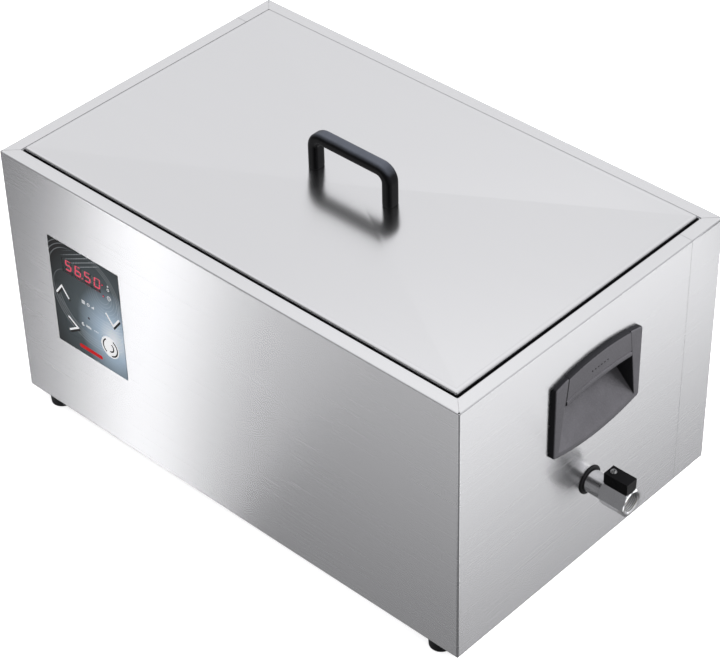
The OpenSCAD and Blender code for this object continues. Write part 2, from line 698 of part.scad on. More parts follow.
// Half width of the recess at height v
function mouth_y(v) = mouth_low_y
    + (mouth_top_y - mouth_low_y) * (v + half_h - 5) / (grip_low + half_h - 5);

// An outline in Y and v, extruded outwards from u = lo to u = hi
module plaque(lo, hi) translate([wall_x + lo, 0, hz]) rotate([90, 0, 90])
    linear_extrude(height = hi - lo) children();

// Outline of the frame, shrunk by g all round
module frame_outline(g) {
    r = bow_r - g;
    w = handle_w / 2 - g;
    a = asin(w / r);
    polygon(concat(arc(0, -bow_drop, r, 90 - a, 90 + a, 16), arc(0, bow_drop, r, 270 - a, 270 + a, 16)));
}

// Outline of the recess's mouth, grown by g at its sides and open at the top
module mouth_outline(g, top) {
    r = bow_r - mouth_band + g;
    a = asin((mouth_low_y + g) / r);
    polygon(concat([[mouth_y(top) + g, top], [-mouth_y(top) - g, top]],
        arc(0, bow_drop, r, 270 - a, 270 + a, 12)));
}

// The recess as a solid: its mouth, run in along the sloping floor, narrowing towards the back
module scoop(g, out, top) intersection() {
    plaque(-scoop_in - g, out) mouth_outline(g, top);
    translate([wall_x, cut_y, hz]) rotate([90, 0, 0]) linear_extrude(height = 2 * cut_y) polygon([
        [out, scoop_low(out) - 2 * g], [out, top], [-scoop_in - g, top],
        [-scoop_in - g, scoop_low(-scoop_in) - 2 * g]]);
    translate([wall_x, 0, 0]) linear_extrude(height = zt) polygon([
        [out, -mouth_low_y - g], [out, mouth_low_y + g],
        [-scoop_in - g, mouth_low_y - 5 + g], [-scoop_in - g, 5 - mouth_low_y - g]]);
}
function scoop_low(u) = bow_drop - bow_r + mouth_band - scoop_slope * (u - handle_out);

module clamp_places()
    for (y = [-clamp_y, clamp_y], v = [-27, 27]) translate([0, y, hz + v]) children();

module handle_shell() difference() {
    union() {
        plaque(0, handle_out) frame_outline(0);
        intersection() {
            scoop(scoop_wall, handle_out, cut_hi - 0.3);
            block([0, -cut_y + 0.3, hz + cut_lo + 0.3], [wall_x + 1, cut_y - 0.3, hz + cut_hi - 0.3]);
        }
    }
    intersection() {
        scoop(0, handle_out + 1, half_h + handle_bow + 1);
        union() {
            block([0, -cut_y, 0], [wall_x + 0.01, cut_y, hz + cut_hi - 0.3 - scoop_wall]);
            plaque(0, handle_out + 1) mouth_outline(0, half_h + handle_bow + 1);
        }
    }
    clamp_places() rod_x(0, 0, 1.45, wall_x - 1, wall_x + handle_out - 1);
}

// The grip: a cover across the top of the frame with a lip along its lower edge, and a bar behind
module handle_grip() {
    plaque(0.2, handle_out + 0.3) intersection() {
        frame_outline(-0.3);
        polygon([[-mouth_y(grip_low) + gap, grip_low], [mouth_y(grip_low) - gap, grip_low],
            [mouth_y(50) - gap, 50], [-mouth_y(50) + gap, 50]]);
    }
    plaque(0.2, lip_out) polygon([[-mouth_y(14) + gap, 14], [mouth_y(14) - gap, 14],
        [mouth_y(17.2) - gap, 17.2], [-mouth_y(17.2) + gap, 17.2]]);
    block([wall_x - 11, 2 - mouth_top_y, hz + grip_low],
        [wall_x + 1, mouth_top_y - 2, hz + cut_hi - 2.6]);
}

module handle_right() color("dimgray") place() handle_shell();
module handle_left() color("dimgray") place() mirror([1, 0, 0]) handle_shell();
module grip_right() color("gray") place() handle_grip();
module grip_left() color("gray") place() mirror([1, 0, 0]) handle_grip();

module handle_screws() color("silver") place()
    for (s = [0, 1]) mirror([s, 0, 0]) clamp_places() union() {
        rod_x(0, 0, 2.8, wall_x - sheet - 2, wall_x - sheet);
        rod_x(0, 0, 1.4, wall_x - sheet - 1, wall_x + handle_out - 1.5);
    }

// Drain valve --------------------------------------------------------------------------------

// Threaded socket welded to the tank, which takes the valve's male end
module drain_nipple() color("silver") place() difference() {
    rod_x(0, dz, 13, well_l / 2 + sheet, wall_x - 3);
    rod_x(0, dz, 8, well_l / 2, wall_x);
    rod_x(0, dz, spigot_r + fit, wall_x - 15, wall_x);
}

module wall_grommet() color("black") place() difference() {
    union() {
        rod_x(0, dz, 14.5, wall_x, wall_x + 2.4);
        rod_x(0, dz, 12, wall_x - 2, wall_x + 1);
        rod_x(0, dz, 14, wall_x - 2.8, wall_x - sheet);
    }
    rod_x(0, dz, spigot_r + 0.1, wall_x - 5, wall_x + 5);
}

module valve_body() color("silver") place() difference() {
    union() {
        rod_x(0, dz, spigot_r, wall_x - 14, wall_x + hex_start + 1);
        hex_x(0, dz, hex_af, wall_x + hex_start, wall_x + hex_end);
        rod_z(stem_x, 0, neck_r, dz + 8, neck_top);
    }
    rod_x(0, dz, waterway_r + 0.2, wall_x - 15, stem_x);
    rod_x(0, dz, chamber_r, chamber_lo, chamber_hi);
    rod_x(0, dz, mouth_r, chamber_hi, wall_x + hex_end + 1);
    rod_z(stem_x, 0, stem_rod_r + fit, dz + 5, neck_top + 1);
    rod_z(stem_x, 0, 4, neck_top - 3, neck_top + 1);
}

// Soft rings either side of the ball, coned to clear it
module valve_seats() color("white") place() for (s = [0, 1])
    translate([stem_x, 0, dz]) mirror([s, 0, 0]) rotate([0, 90, 0]) difference() {
        translate([0, 0, seat_in]) cylinder(r = chamber_r - 0.1, h = seat_t);
        cylinder(r = waterway_r, h = 20);
        translate([0, 0, seat_in]) cylinder(r1 = waterway_r + 0.9, r2 = waterway_r - 0.1, h = 1);
    }

module seat_retainer() color("goldenrod") place() difference() {
    rod_x(0, dz, chamber_r - 0.05, chamber_hi - retainer_t, chamber_hi);
    rod_x(0, dz, waterway_r + 0.4, chamber_hi - 3, chamber_hi + 1);
}

module valve_ball() color("silver") place() difference() {
    translate([stem_x, 0, dz]) sphere(r = ball_r);
    rod_x(0, dz, waterway_r, stem_x - 9, stem_x + 9);
    block([stem_x - 1.6, -6, dz + waterway_r + 0.5], [stem_x + 1.6, 6, dz + ball_r + 1]);
}

module valve_stem() color("silver") place() union() {
    rod_z(stem_x, 0, stem_rod_r, dz + ball_r + 0.1, lever_hi - 1);
    block([stem_x - 1.5, -2, dz + waterway_r + 0.6], [stem_x + 1.5, 2, dz + ball_r + 1]);
}

module stem_packing() color("white") place() difference() {
    rod_z(stem_x, 0, 3.9, neck_top - 2.9, neck_top - 0.1);
    rod_z(stem_x, 0, stem_rod_r + fit, 0, zt);
}

// Box lever, in line with the pipe when the valve is open. Its skirts reach down beside the neck
// and it is open behind and hollow in front of the stem.
module valve_lever() color("black") place() difference() {
    block([stem_x - lever_back, -lever_half, lever_lo], [wall_x + lever_end, lever_half, lever_hi]);
    rod_z(stem_x, 0, neck_r + 0.4, lever_lo - 1, neck_top + 0.4);
    block([stem_x - lever_back - 1, -neck_r - 0.4, lever_lo - 1], [stem_x, neck_r + 0.4, neck_top + 0.4]);
    rod_z(stem_x, 0, stem_rod_r + 0.02, 0, zt);
    block([stem_x + 7.5, lever_wall - lever_half, lever_lo - 1],
        [wall_x + lever_end - lever_wall, lever_half - lever_wall, lever_hi - 3]);
}

module lever_screw() color("silver") place() union() {
    rod_z(stem_x, 0, 3.1, lever_hi, lever_hi + 0.7);
    rod_z(stem_x, 0, 2.4, lever_hi + 0.6, lever_hi + 1.8);
}

// Pump ---------------------------------------------------------------------------------------

module motor_housing() color("dimgray") place() translate([pump_x, pump_y, 0]) difference() {
    union() {
        rod_z(0, 0, 30, motor_lo, floor_z - sheet - 1);
        rod_z(0, 0, 38, floor_z - sheet - 3, floor_z - sheet);
    }
    rod_z(0, 0, 27, motor_lo + 6, floor_z - sheet - 6);
    rod_z(0, 0, shaft_r + fit, motor_lo + 2, floor_z);
    rod_z(0, 0, 9.2, floor_z - sheet - 3, floor_z + 1);
}

module motor_stator() color("peru") place() translate([pump_x, pump_y, 0]) difference() {
    rod_z(0, 0, 26.8, motor_lo + 12, floor_z - 16);
    rod_z(0, 0, 21, 0, zt);
}

// Shaft with its rotor
module pump_shaft() color("silver") place() translate([pump_x, pump_y, 0]) union() {
    rod_z(0, 0, shaft_r, motor_lo + 2.2, floor_z + 13);
    rod_z(0, 0, 20, motor_lo + 14, floor_z - 18);
}

module impeller() color("white") place() translate([pump_x, pump_y, 0]) difference() {
    union() {
        rod_z(0, 0, 7, floor_z + 4.5, floor_z + 13);
        rod_z(0, 0, 26, floor_z + 4.5, floor_z + 6);
        for (a = [0:60:300]) rotate([0, 0, a])
            block([5, -0.8, floor_z + 5.5], [25, 0.8, floor_z + 12]);
    }
    rod_z(0, 0, shaft_r, 0, floor_z + 20);
}

module shaft_seal() color("black") place() translate([pump_x, pump_y, 0]) difference() {
    union() {
        rod_z(0, 0, 9, floor_z - sheet - 2.8, floor_z + 1);
        rod_z(0, 0, 12, floor_z, floor_z + 2);
    }
    rod_z(0, 0, shaft_r + fit, 0, zt);
}

front_wrap();
rear_wrap();
base_plate();
base_screws();
feet();
foot_screws();
tank();
lid_seal();
insulation();
heater_mat();
safety_thermostat();
temperature_probe();
probe_gland();
false_bottom();
lid_panel();
lid_handle();
lid_handle_screws();
lid_handle_washers();
control_overlay();
key_up();
key_down();
key_right();
key_power();
display_window();
display_module();
digit_segments();
indicator_leds();
tact_switches();
control_board();
board_standoffs();
board_screws();
ribbon_cable();
power_board();
solid_state_relay();
heat_sink();
mains_inlet();
inlet_screws();
earth_stud();
mains_leads();
handle_right();
handle_left();
grip_right();
grip_left();
handle_screws();
drain_nipple();
wall_grommet();
valve_body();
valve_seats();
seat_retainer();
valve_ball();
valve_stem();
stem_packing();
valve_lever();
lever_screw();
motor_housing();
motor_stator();
pump_shaft();
impeller();
shaft_seal();
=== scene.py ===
"""Looks for the counter-top water bath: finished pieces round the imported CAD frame."""

import json
import math

import bmesh
import bpy
from mathutils import Matrix, Vector

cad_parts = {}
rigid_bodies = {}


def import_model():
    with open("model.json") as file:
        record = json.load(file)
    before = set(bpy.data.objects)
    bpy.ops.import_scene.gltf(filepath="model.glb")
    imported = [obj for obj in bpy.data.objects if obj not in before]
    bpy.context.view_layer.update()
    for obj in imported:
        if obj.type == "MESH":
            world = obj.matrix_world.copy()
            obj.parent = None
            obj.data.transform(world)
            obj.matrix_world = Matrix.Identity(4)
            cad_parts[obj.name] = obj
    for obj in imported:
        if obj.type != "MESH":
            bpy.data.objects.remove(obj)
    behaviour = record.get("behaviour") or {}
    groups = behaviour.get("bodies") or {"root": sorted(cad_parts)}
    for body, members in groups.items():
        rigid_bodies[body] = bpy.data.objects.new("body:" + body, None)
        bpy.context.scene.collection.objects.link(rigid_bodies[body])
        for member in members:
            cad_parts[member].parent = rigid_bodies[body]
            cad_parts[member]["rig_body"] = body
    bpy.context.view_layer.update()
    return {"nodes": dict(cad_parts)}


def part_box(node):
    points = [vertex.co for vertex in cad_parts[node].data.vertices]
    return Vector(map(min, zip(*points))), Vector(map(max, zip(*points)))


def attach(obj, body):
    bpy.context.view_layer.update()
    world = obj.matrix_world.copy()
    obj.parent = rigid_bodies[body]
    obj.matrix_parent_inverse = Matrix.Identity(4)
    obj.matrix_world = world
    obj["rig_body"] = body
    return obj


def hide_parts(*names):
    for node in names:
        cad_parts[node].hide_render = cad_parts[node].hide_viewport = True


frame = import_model()
NODES = frame["nodes"]
BODY_OF = {o.name: o["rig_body"] for o in NODES.values()}
SLOT_OF = {name: o.data.materials[0].name for name, o in NODES.items()}
MM = 0.001

# Everything is drawn in millimetres about the middle of the housing, and Z is the height above
# the floor. PLACE takes that to the row frame.
front_lo, front_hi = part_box("front_wrap")
rear_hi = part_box("rear_wrap")[1]
MIDDLE = Vector(((front_lo.x + front_hi.x) / 2, (front_lo.y + rear_hi.y) / 2, 0))
PLACE = Matrix.Translation(MIDDLE) @ Matrix.Diagonal((MM, MM, MM, 1))


def local(node):
    """A CAD node's lowest and highest corners, in millimetres about the middle of the housing."""
    lo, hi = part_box(node)
    return (lo - MIDDLE) / MM, (hi - MIDDLE) / MM


WALL_X = local("front_wrap")[1].x

# ---------------------------------------------------------------------------------------------
# Materials


class Shader:
    """A material's node tree, with short calls for the nodes that the finishes share."""

    def __init__(self, name):
        self.material = bpy.data.materials.new(name)
        self.material.use_nodes = True
        self.tree = self.material.node_tree
        self.tree.nodes.clear()
        out = self.tree.nodes.new("ShaderNodeOutputMaterial")
        self.surface = self.tree.nodes.new("ShaderNodeBsdfPrincipled")
        self.tree.links.new(self.surface.outputs[0], out.inputs["Surface"])
        self.place = self.node("ShaderNodeTexCoord").outputs["Object"]

    def node(self, kind, inputs=None, **settings):
        made = self.tree.nodes.new(kind)
        for key, value in settings.items():
            setattr(made, key, value)
        for key, value in (inputs or {}).items():
            self.plug(made.inputs[key], value)
        return made

    def plug(self, socket, value):
        if isinstance(value, bpy.types.NodeSocket):
            self.tree.links.new(value, socket)
        else:
            socket.default_value = value

    def set(self, **values):
        """Sockets of the surface shader, with _ for a space in the name."""
        for key, value in values.items():
            self.plug(self.surface.inputs[key.replace("_", " ")], value)
        return self

    def scaled(self, scale, turn=(0, 0, 0)):
        made = self.node("ShaderNodeMapping",
                         {"Vector": self.place, "Scale": scale, "Rotation": turn})
        return made.outputs[0]

    def noise(self, scale, detail=2.0, rough=0.5, turn=(0, 0, 0)):
        inputs = {"Vector": self.scaled(scale, turn), "Scale": 1.0, "Detail": detail,
                  "Roughness": rough}
        return self.node("ShaderNodeTexNoise", inputs).outputs["Fac"]

    def math(self, operation, a, b=0.0, c=0.0):
        made = self.node("ShaderNodeMath", operation=operation)
        for i, value in enumerate((a, b, c)):
            self.plug(made.inputs[i], value)
        return made.outputs[0]

    def spread(self, value, lo, hi, from_lo=0.0, from_hi=1.0):
        inputs = {"Value": value, "From Min": from_lo, "From Max": from_hi, "To Min": lo,
                  "To Max": hi}
        return self.node("ShaderNodeMapRange", inputs).outputs[0]

    def ramp(self, value, stops):
        made = self.node("ShaderNodeValToRGB", {"Fac": value})
        band = made.color_ramp.elements
        while len(band) < len(stops):
            band.new(0.5)
        for element, (at, colour) in zip(band, stops):
            element.position = at
            element.color = (*colour, 1)
        return made.outputs["Color"]

    def blend(self, factor, a, b, mode="MIX"):
        made = self.node("ShaderNodeMix", data_type="RGBA", blend_type=mode)
        for i, value in ((0, factor), (6, a), (7, b)):
            self.plug(made.inputs[i], (*value, 1) if isinstance(value, tuple) else value)
        return made.outputs[2]

    def bump(self, height, strength, distance):
        inputs = {"Height": height, "Strength": strength, "Distance": distance}
        self.set(Normal=self.node("ShaderNodeBump", inputs).outputs[0])
        return self


def shade(colour, factor):
    return tuple(c * factor for c in colour)


def brushed(name, colour, rough, grain, across, tangent, contrast, aniso, vary=0.006, depth=0.012):
    """Brushed stainless: streaks along the grain, and a gloss stretched across it."""
    s = Shader(name)
    fine = s.noise(grain, 3, 0.6)
    broad = s.noise(across, 2, 0.5)
    streaks = s.math("ADD", s.math("MULTIPLY", fine, 0.55), s.math("MULTIPLY", broad, 0.45))
    lo, hi = shade(colour, 1 - contrast), shade(colour, 1 + contrast)
    tone = s.ramp(streaks, [(0.3, lo), (0.7, hi)])
    s.set(Base_Color=tone, Metallic=1.0, Anisotropic=aniso)
    s.set(Roughness=s.spread(streaks, rough - vary, rough + vary, 0.3, 0.7))
    s.set(Tangent=s.node("ShaderNodeCombineXYZ", dict(zip("XYZ", tangent))).outputs[0])
    return s.bump(fine, depth, 0.00005).material


def turned(name, colour, rough, grain=(1800, 1800, 1800), wear=0.08):
    """Plated or turned metal with faint tool marks and a little dulling."""
    s = Shader(name)
    marks = s.noise(grain, 3, 0.6)
    dull = s.noise((90, 90, 90), 4, 0.6)
    s.set(Base_Color=s.ramp(dull, [(0.3, shade(colour, 1 - wear)), (0.7, colour)]), Metallic=1.0)
    s.set(Roughness=s.spread(s.math("MULTIPLY", marks, dull), rough, rough + 0.12, 0.1, 0.5))
    return s.bump(marks, 0.06, 0.00005).material


def moulded(name, colour, rough, grain=1100, depth=0.25, fleck=0.15, specular=0.5, glow=0.0):
    """Moulded plastic or rubber with a fine spark-eroded grain."""
    s = Shader(name)
    cells = s.node("ShaderNodeTexVoronoi", {"Vector": s.place, "Scale": grain},
                   feature="SMOOTH_F1").outputs["Distance"]
    cloud = s.noise((60, 60, 60), 4, 0.65)
    speck = s.noise((grain * 0.8,) * 3, 2, 0.6)
    tone = s.math("ADD", s.math("MULTIPLY", cloud, 0.4), s.math("MULTIPLY", speck, 0.6))
    s.set(Base_Color=s.ramp(tone,
                            [(0.3, shade(colour, 1 - fleck)), (0.7, shade(colour, 1 + fleck))]))
    s.set(Roughness=s.spread(cloud, rough - 0.06, rough + 0.06, 0.3, 0.7),
          Specular_IOR_Level=specular)
    if glow:                                    # painted light: the ink glows a little by itself
        s.set(Emission_Color=(*colour, 1), Emission_Strength=glow)
    return s.bump(cells, depth, 0.00012).material


def painted_sheen_black(name, dark, top):
    """Black plastic with painted sheen: faces that look up are painted lighter grey, with random mottle."""
    s = Shader(name)
    normal = s.node("ShaderNodeTexCoord").outputs["Normal"]
    up = s.node("ShaderNodeSeparateXYZ", {"Vector": normal}).outputs["Z"]
    cloud = s.noise((60, 60, 60), 4, 0.65)
    # painted highlight: the colour grows lighter as a face turns up, plus random mottle
    painted_top_sheen_and_mottle = s.math("ADD", up, s.spread(cloud, -0.06, 0.06, 0.3, 0.7))
    s.set(Base_Color=s.ramp(painted_top_sheen_and_mottle,
                            [(0.0, dark), (0.5, shade(dark, 2)), (0.85, shade(top, 0.6)),
                             (1.0, top)]))
    s.set(Roughness=s.spread(cloud, 0.34, 0.44, 0.3, 0.7), Specular_IOR_Level=0.16)
    return s.bump(s.noise((1300, 1300, 1300), 2, 0.6), 0.12, 0.0001).material


def fibre(name, colour):
    s = Shader(name)
    strands = s.noise((240, 240, 900), 6, 0.75)
    s.set(Base_Color=s.ramp(strands, [(0.25, shade(colour, 0.6)), (0.75, shade(colour, 1.15))]))
    s.set(Roughness=0.95, Sheen_Weight=0.3)
    return s.bump(strands, 0.9, 0.0008).material


def banded(name, colour, other, scale, axis="X"):
    """Ribs or turns of wire: bands across one axis, such as a ribbon's wires or a coil."""
    s = Shader(name)
    wave = s.node("ShaderNodeTexWave", {"Vector": s.place, "Scale": scale, "Distortion": 0.3},
                  bands_direction=axis)
    s.set(Base_Color=s.ramp(wave.outputs["Fac"], [(0.2, other), (0.6, colour)]), Roughness=0.5)
    return s.bump(wave.outputs["Fac"], 0.6, 0.0004).material


def board(name):
    """Circuit board: solder mask with copper tracks showing through."""
    s = Shader(name)
    cells = {"Vector": s.scaled((260, 260, 260)), "Scale": 1.0}
    tracks = s.node("ShaderNodeTexBrick", {**cells, "Mortar Size": 0.06},
                    offset=0.37).outputs["Fac"]
    cloud = s.noise((120, 120, 120), 3)
    mask = s.ramp(cloud, [(0.3, (0.004, 0.055, 0.02)), (0.7, (0.008, 0.09, 0.035))])
    s.set(Base_Color=s.blend(tracks, mask, (0.03, 0.17, 0.06)), Roughness=0.35)
    return s.bump(tracks, 0.3, 0.0001).material


def glowing(name, colour, strength, base):
    """A lit lens: its light falls off a little towards the edges of the dies behind it."""
    s = Shader(name)
    dies = s.noise((900, 900, 900), 2)
    s.set(Base_Color=(*base, 1), Roughness=0.35,
          Emission_Color=s.ramp(dies, [(0.2, shade(colour, 0.85)), (0.8, colour)]))
    return s.set(Emission_Strength=strength).material


def tinted(name, colour, alpha):
    """Smoked plastic that lets what is behind it show through, with a faint haze."""
    s = Shader(name)
    haze = s.noise((150, 150, 150), 4, 0.6)
    s.set(Base_Color=s.ramp(haze, [(0.3, shade(colour, 0.85)), (0.7, shade(colour, 1.15))]))
    s.set(Roughness=s.spread(haze, 0.16, 0.24), Alpha=alpha, Specular_IOR_Level=0.3)
    return s.bump(haze, 0.03, 0.0001).material


def film(name, corner):
    """The panel's printed film, in millimetres right (u) and up (w) from its lower left corner: a
    pale blue glow round the power key, thin sweeping arcs, and rows of dots at the top."""
    s = Shader(name)

    def measured(u, w, cell_u=1.0, cell_w=1.0, tilt=0.0):
        """Place on the film from (u, w), in cells of the given size; Y is left out."""
        inputs = {"Vector": s.place, "Location": corner + Vector((u, 0, w)) * MM,
                  "Rotation": (0, math.radians(tilt), 0), "Scale": (cell_u * MM, 1e4, cell_w * MM)}
        return s.node("ShaderNodeMapping", inputs, vector_type="TEXTURE").outputs[0]

    def length(vector):
        return s.node("ShaderNodeVectorMath", {0: vector}, operation="LENGTH").outputs["Value"]

    def arcs(u, w, stretch, start, pitch, count, half):
        """Thin lines round (u, w): count of them, from the radius start outwards."""
        t = s.math("DIVIDE", s.math("SUBTRACT", length(measured(u, w, 1, stretch)), start), pitch)
        off = s.math("ABSOLUTE", s.math("SUBTRACT", t, s.math("ROUND", t)))
        lines = s.spread(off, 1, 0, 0.3 * half / pitch, half / pitch)
        inside = s.math("MULTIPLY", s.math("GREATER_THAN", t, -0.5),
                        s.math("LESS_THAN", t, count - 0.5))
        return s.math("MULTIPLY", lines, inside)

    def product(first, *others):
        for value in others:
            first = s.math("MULTIPLY", first, value)
        return first

    flat = s.node("ShaderNodeSeparateXYZ", {"Vector": measured(0, 0)})
    u, w = flat.outputs["X"], flat.outputs["Z"]
    glow = s.math("MULTIPLY", length(measured(82, 42, 1, 1.15)), 0.01)
    tone = s.ramp(glow, [(0.0, (0.90, 0.95, 1.0)), (0.2, (0.42, 0.54, 0.66)),
                         (0.5, (0.07, 0.09, 0.10)), (0.95, (0.008, 0.008, 0.009))])
    sweeps = [
        (product(arcs(33, 86, 1, 35.5, 4.4, 3, 0.55), s.spread(u, 1, 0, 16, 32),
                 s.spread(w, 0, 1, 90, 104)), 0.22),
        (product(arcs(26, 70, 1, 24, 3, 1, 0.5), s.spread(u, 1, 0, 10, 24)), 0.12),
        (product(arcs(50, 80, 1, 41.5, 2.3, 3, 0.5), s.spread(u, 0, 1, 54, 70)), 0.20),
        (product(arcs(72, 90, 1.15, 9, 3.4, 5, 0.5), s.spread(w, 1, 0, 84, 98),
                 s.spread(u, 0, 1, 46, 64)), 0.16),
        (product(arcs(55, 75, 1, 47, 3.1, 4, 0.5), s.spread(w, 1, 0, 56, 72)), 0.30),
        (product(arcs(70, 120, 1, 62, 3.4, 5, 0.5), s.spread(u, 0, 1, 28, 76),
                 s.spread(w, 1, 0, 66, 74)), 0.34),
        (product(arcs(84, -200, 1, 220, 2.9, 9, 0.8), s.spread(u, 0, 1, 87, 97)), 0.30),
    ]
    cell = s.node("ShaderNodeVectorMath", {0: measured(45, 116, 2.7, 4.4, -27)},
                  operation="FRACTION").outputs[0]
    centred = s.node("ShaderNodeVectorMath", {0: cell, 1: (0.5, 0, 0.5)},
                     operation="SUBTRACT").outputs[0]
    even = s.node("ShaderNodeVectorMath", {0: centred, 1: (2.7, 0, 4.4)},
                  operation="MULTIPLY").outputs[0]
    field = s.spread(length(measured(44, 116, 30, 9.5, -14)), 1, 0, 0.75, 1)
    sweeps.append((product(s.spread(length(even), 1, 0, 0.3, 0.7), field,
                           s.spread(u, 0.25, 1, 16, 40)), 0.75))
    for mask, strength in sweeps:
        tone = s.blend(s.math("MULTIPLY", mask, strength), tone, (0.9, 0.95, 1.0))
    grain = s.noise((2600, 2600, 2600), 2)
    s.set(Base_Color=tone, Roughness=s.spread(grain, 0.3, 0.4), Specular_IOR_Level=0.12)
    # painted light: the whole print glows a little by itself, most where it is pale
    s.set(Emission_Color=tone, Emission_Strength=0.2)
    return s.bump(grain, 0.05, 0.00003).material


def flange_steel(name, rough):
    """The rim's polished steel: one even tone, so its strips differ only by what they mirror."""
    s = Shader(name)
    fine = s.noise((900, 900, 900), 3, 0.6)
    s.set(Base_Color=s.ramp(fine, [(0.3, shade(RIM_STEEL, 0.97)), (0.7, RIM_STEEL)]), Metallic=1.0)
    s.set(Roughness=s.spread(fine, rough - 0.01, rough + 0.01, 0.3, 0.7))
    return s.bump(fine, 0.01, 0.00005).material


STEEL = (0.66, 0.66, 0.675)
RIM_STEEL = (0.75, 0.75, 0.76)
LID_STEEL = (0.72, 0.72, 0.73)
FILM_CORNER = PLACE @ Vector((local("control_overlay")[0].x, 0, local("control_overlay")[0].z))
M = {
    "wall": brushed("wall_steel", STEEL, 0.27, (9, 9, 4200), (5, 5, 900), (0, 0, 1), 0.008, 0.88),
    "flange": flange_steel("flange_steel", 0.24),
    "lid": brushed("lid_steel", LID_STEEL, 0.18, (9, 4200, 9), (5, 900, 5), (0, 1, 0), 0.012, 0.6),
    "tank_steel": brushed("tank_steel", (0.62, 0.62, 0.63), 0.3, (400, 400, 400), (14, 14, 14),
                          (0, 0, 1), 0.04, 0.0),
    "fastener_steel": turned("fastener_steel", (0.6, 0.6, 0.6), 0.22),
    "chrome": turned("chrome", (0.82, 0.82, 0.83), 0.06, (700, 2400, 2400), 0.04),
    # painted shade: dark metal for the thread's roots and the chamber inside the valve
    "painted_shade_bore": turned("thread_painted_shade", (0.05, 0.05, 0.052), 0.2, (700, 2400, 2400), 0.2),
    "brass": turned("brass", (0.78, 0.56, 0.24), 0.25),
    "sink_aluminium": turned("sink_aluminium", (0.72, 0.73, 0.74), 0.38),
    "motor_grey": turned("motor_grey", (0.35, 0.36, 0.38), 0.4),
    "black_rubber": moulded("black_rubber", (0.008, 0.008, 0.009), 0.62, 700, 0.3, 0.15, 0.25),
    "black_plastic": moulded("black_plastic", (0.008, 0.008, 0.009), 0.34, 1300, 0.15, 0.15, 0.3),
    "grey_plastic": moulded("grey_plastic", (0.072, 0.070, 0.077), 0.5, 1500, 0.35, 0.25, 0.15),
    "handle_black": painted_sheen_black("handle_black", (0.0015, 0.0015, 0.002), (0.062, 0.068, 0.085)),
    # painted shade: darker plastic laid on the handles' outer sides, recess end walls, grip top and joints; the
    # grip's dots are this plastic too
    "painted_shade_and_dot_plastic": moulded("painted_shade_and_dot_plastic", (0.014, 0.014, 0.016), 0.45, 1500, 0.2, 0.2, 0.15),
    "lever_black": moulded("lever_black", (0.004, 0.004, 0.0045), 0.4, 1300, 0.15, 0.15, 0.12),
    "module_black": moulded("module_black", (0.15, 0.185, 0.19), 0.45, 1500, 0.1),
    "lead_sleeve": moulded("lead_sleeve", (0.16, 0.07, 0.03), 0.45, 900, 0.1),
    "heater_silicone": moulded("heater_silicone", (0.42, 0.12, 0.05), 0.55, 500, 0.6),
    "white_ptfe": moulded("white_ptfe", (0.75, 0.75, 0.73), 0.35, 900, 0.08, 0.03),
    # painted light: the white and red inks glow a little by themselves
    "print_white": moulded("print_white", (0.95, 0.95, 0.96), 0.42, 1500, 0.05, 0.02, glow=0.35),
    "print_black": moulded("print_black", (0.004, 0.004, 0.004), 0.45, 1500, 0.05, 0.1, 0.2),
    "print_red": moulded("print_red", (0.7, 0.001, 0.006), 0.42, 1500, 0.05, 0.05, 0.1, glow=0.2),
    "segment_off": moulded("segment_off", (0.045, 0.055, 0.06), 0.4, 1500, 0.05, 0.05, 0.2),
    "lens_off": moulded("lens_off", (0.05, 0.012, 0.02), 0.25, 1500, 0.03, 0.05),
    "ribbon_grey": banded("ribbon_grey", (0.45, 0.46, 0.47), (0.2, 0.2, 0.21), 800),
    "winding_copper": banded("winding_copper", (0.6, 0.24, 0.09), (0.2, 0.07, 0.03), 900, "Z"),
    "lagging_felt": fibre("lagging_felt", (0.5, 0.46, 0.34)),
    "pcb_green": board("pcb_green"),
    "red_led": glowing("red_led", (1.0, 0.07, 0.15), 1.3, (0.3, 0.01, 0.02)),
    "panel_film": film("panel_film_print", FILM_CORNER),
    "smoked_window": tinted("smoked_window", (0.10, 0.12, 0.125), 0.25),
}
M["housing_steel"] = M["wall"]

# ---------------------------------------------------------------------------------------------
# Mesh tools


def piece(name, bm, materials, stands_for, angle=32, body=None, placed=False):
    """Turns bm into an object that rides on the body of the CAD nodes that it stands for."""
    bmesh.ops.remove_doubles(bm, verts=bm.verts, dist=0.001 if not placed else 1e-6)
    bmesh.ops.recalc_face_normals(bm, faces=bm.faces)
    if not placed:
        bm.transform(PLACE)
    mesh = bpy.data.meshes.new(name)
    bm.to_mesh(mesh)
    bm.free()
    for m in materials if isinstance(materials, list) else [materials]:
        mesh.materials.append(m)
    mesh.shade_smooth()
    mesh.set_sharp_from_angle(angle=math.radians(angle))
    made = bpy.data.objects.new(name, mesh)
    bpy.context.scene.collection.objects.link(made)
    made.modifiers.new("weighted", "WEIGHTED_NORMAL").keep_sharp = True
    nodes = [stands_for] if isinstance(stands_for, str) else list(stands_for)
    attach(made, body or BODY_OF[nodes[0]])
    if nodes:
        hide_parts(*nodes)
    return made


def refined(node, bevel=0.0, segments=2, angle=32, material=None, sort=None, name=None):
    """A CAD node's own shape, its flats merged and its sharp edges rounded by bevel millimetres."""
    bm = bmesh.new()
    bm.from_mesh(NODES[node].data)
    bmesh.ops.remove_doubles(bm, verts=bm.verts, dist=2e-6)
    bmesh.ops.dissolve_limit(bm, angle_limit=math.radians(0.5), verts=bm.verts, edges=bm.edges)
    if bevel:
        limit = math.radians(angle)
        sharp = [e for e in bm.edges if len(e.link_faces) == 2 and e.calc_face_angle(0) > limit]
        bmesh.ops.bevel(bm, geom=sharp, offset=bevel * MM, segments=segments, profile=0.6,
                        affect="EDGES", clamp_overlap=True)
    bm.normal_update()
    if sort:
        for f in bm.faces:
            f.material_index = sort(f)
    materials = material or M[SLOT_OF[node]]
    return piece(name or node + "_finished", bm, materials, node, angle, placed=True)


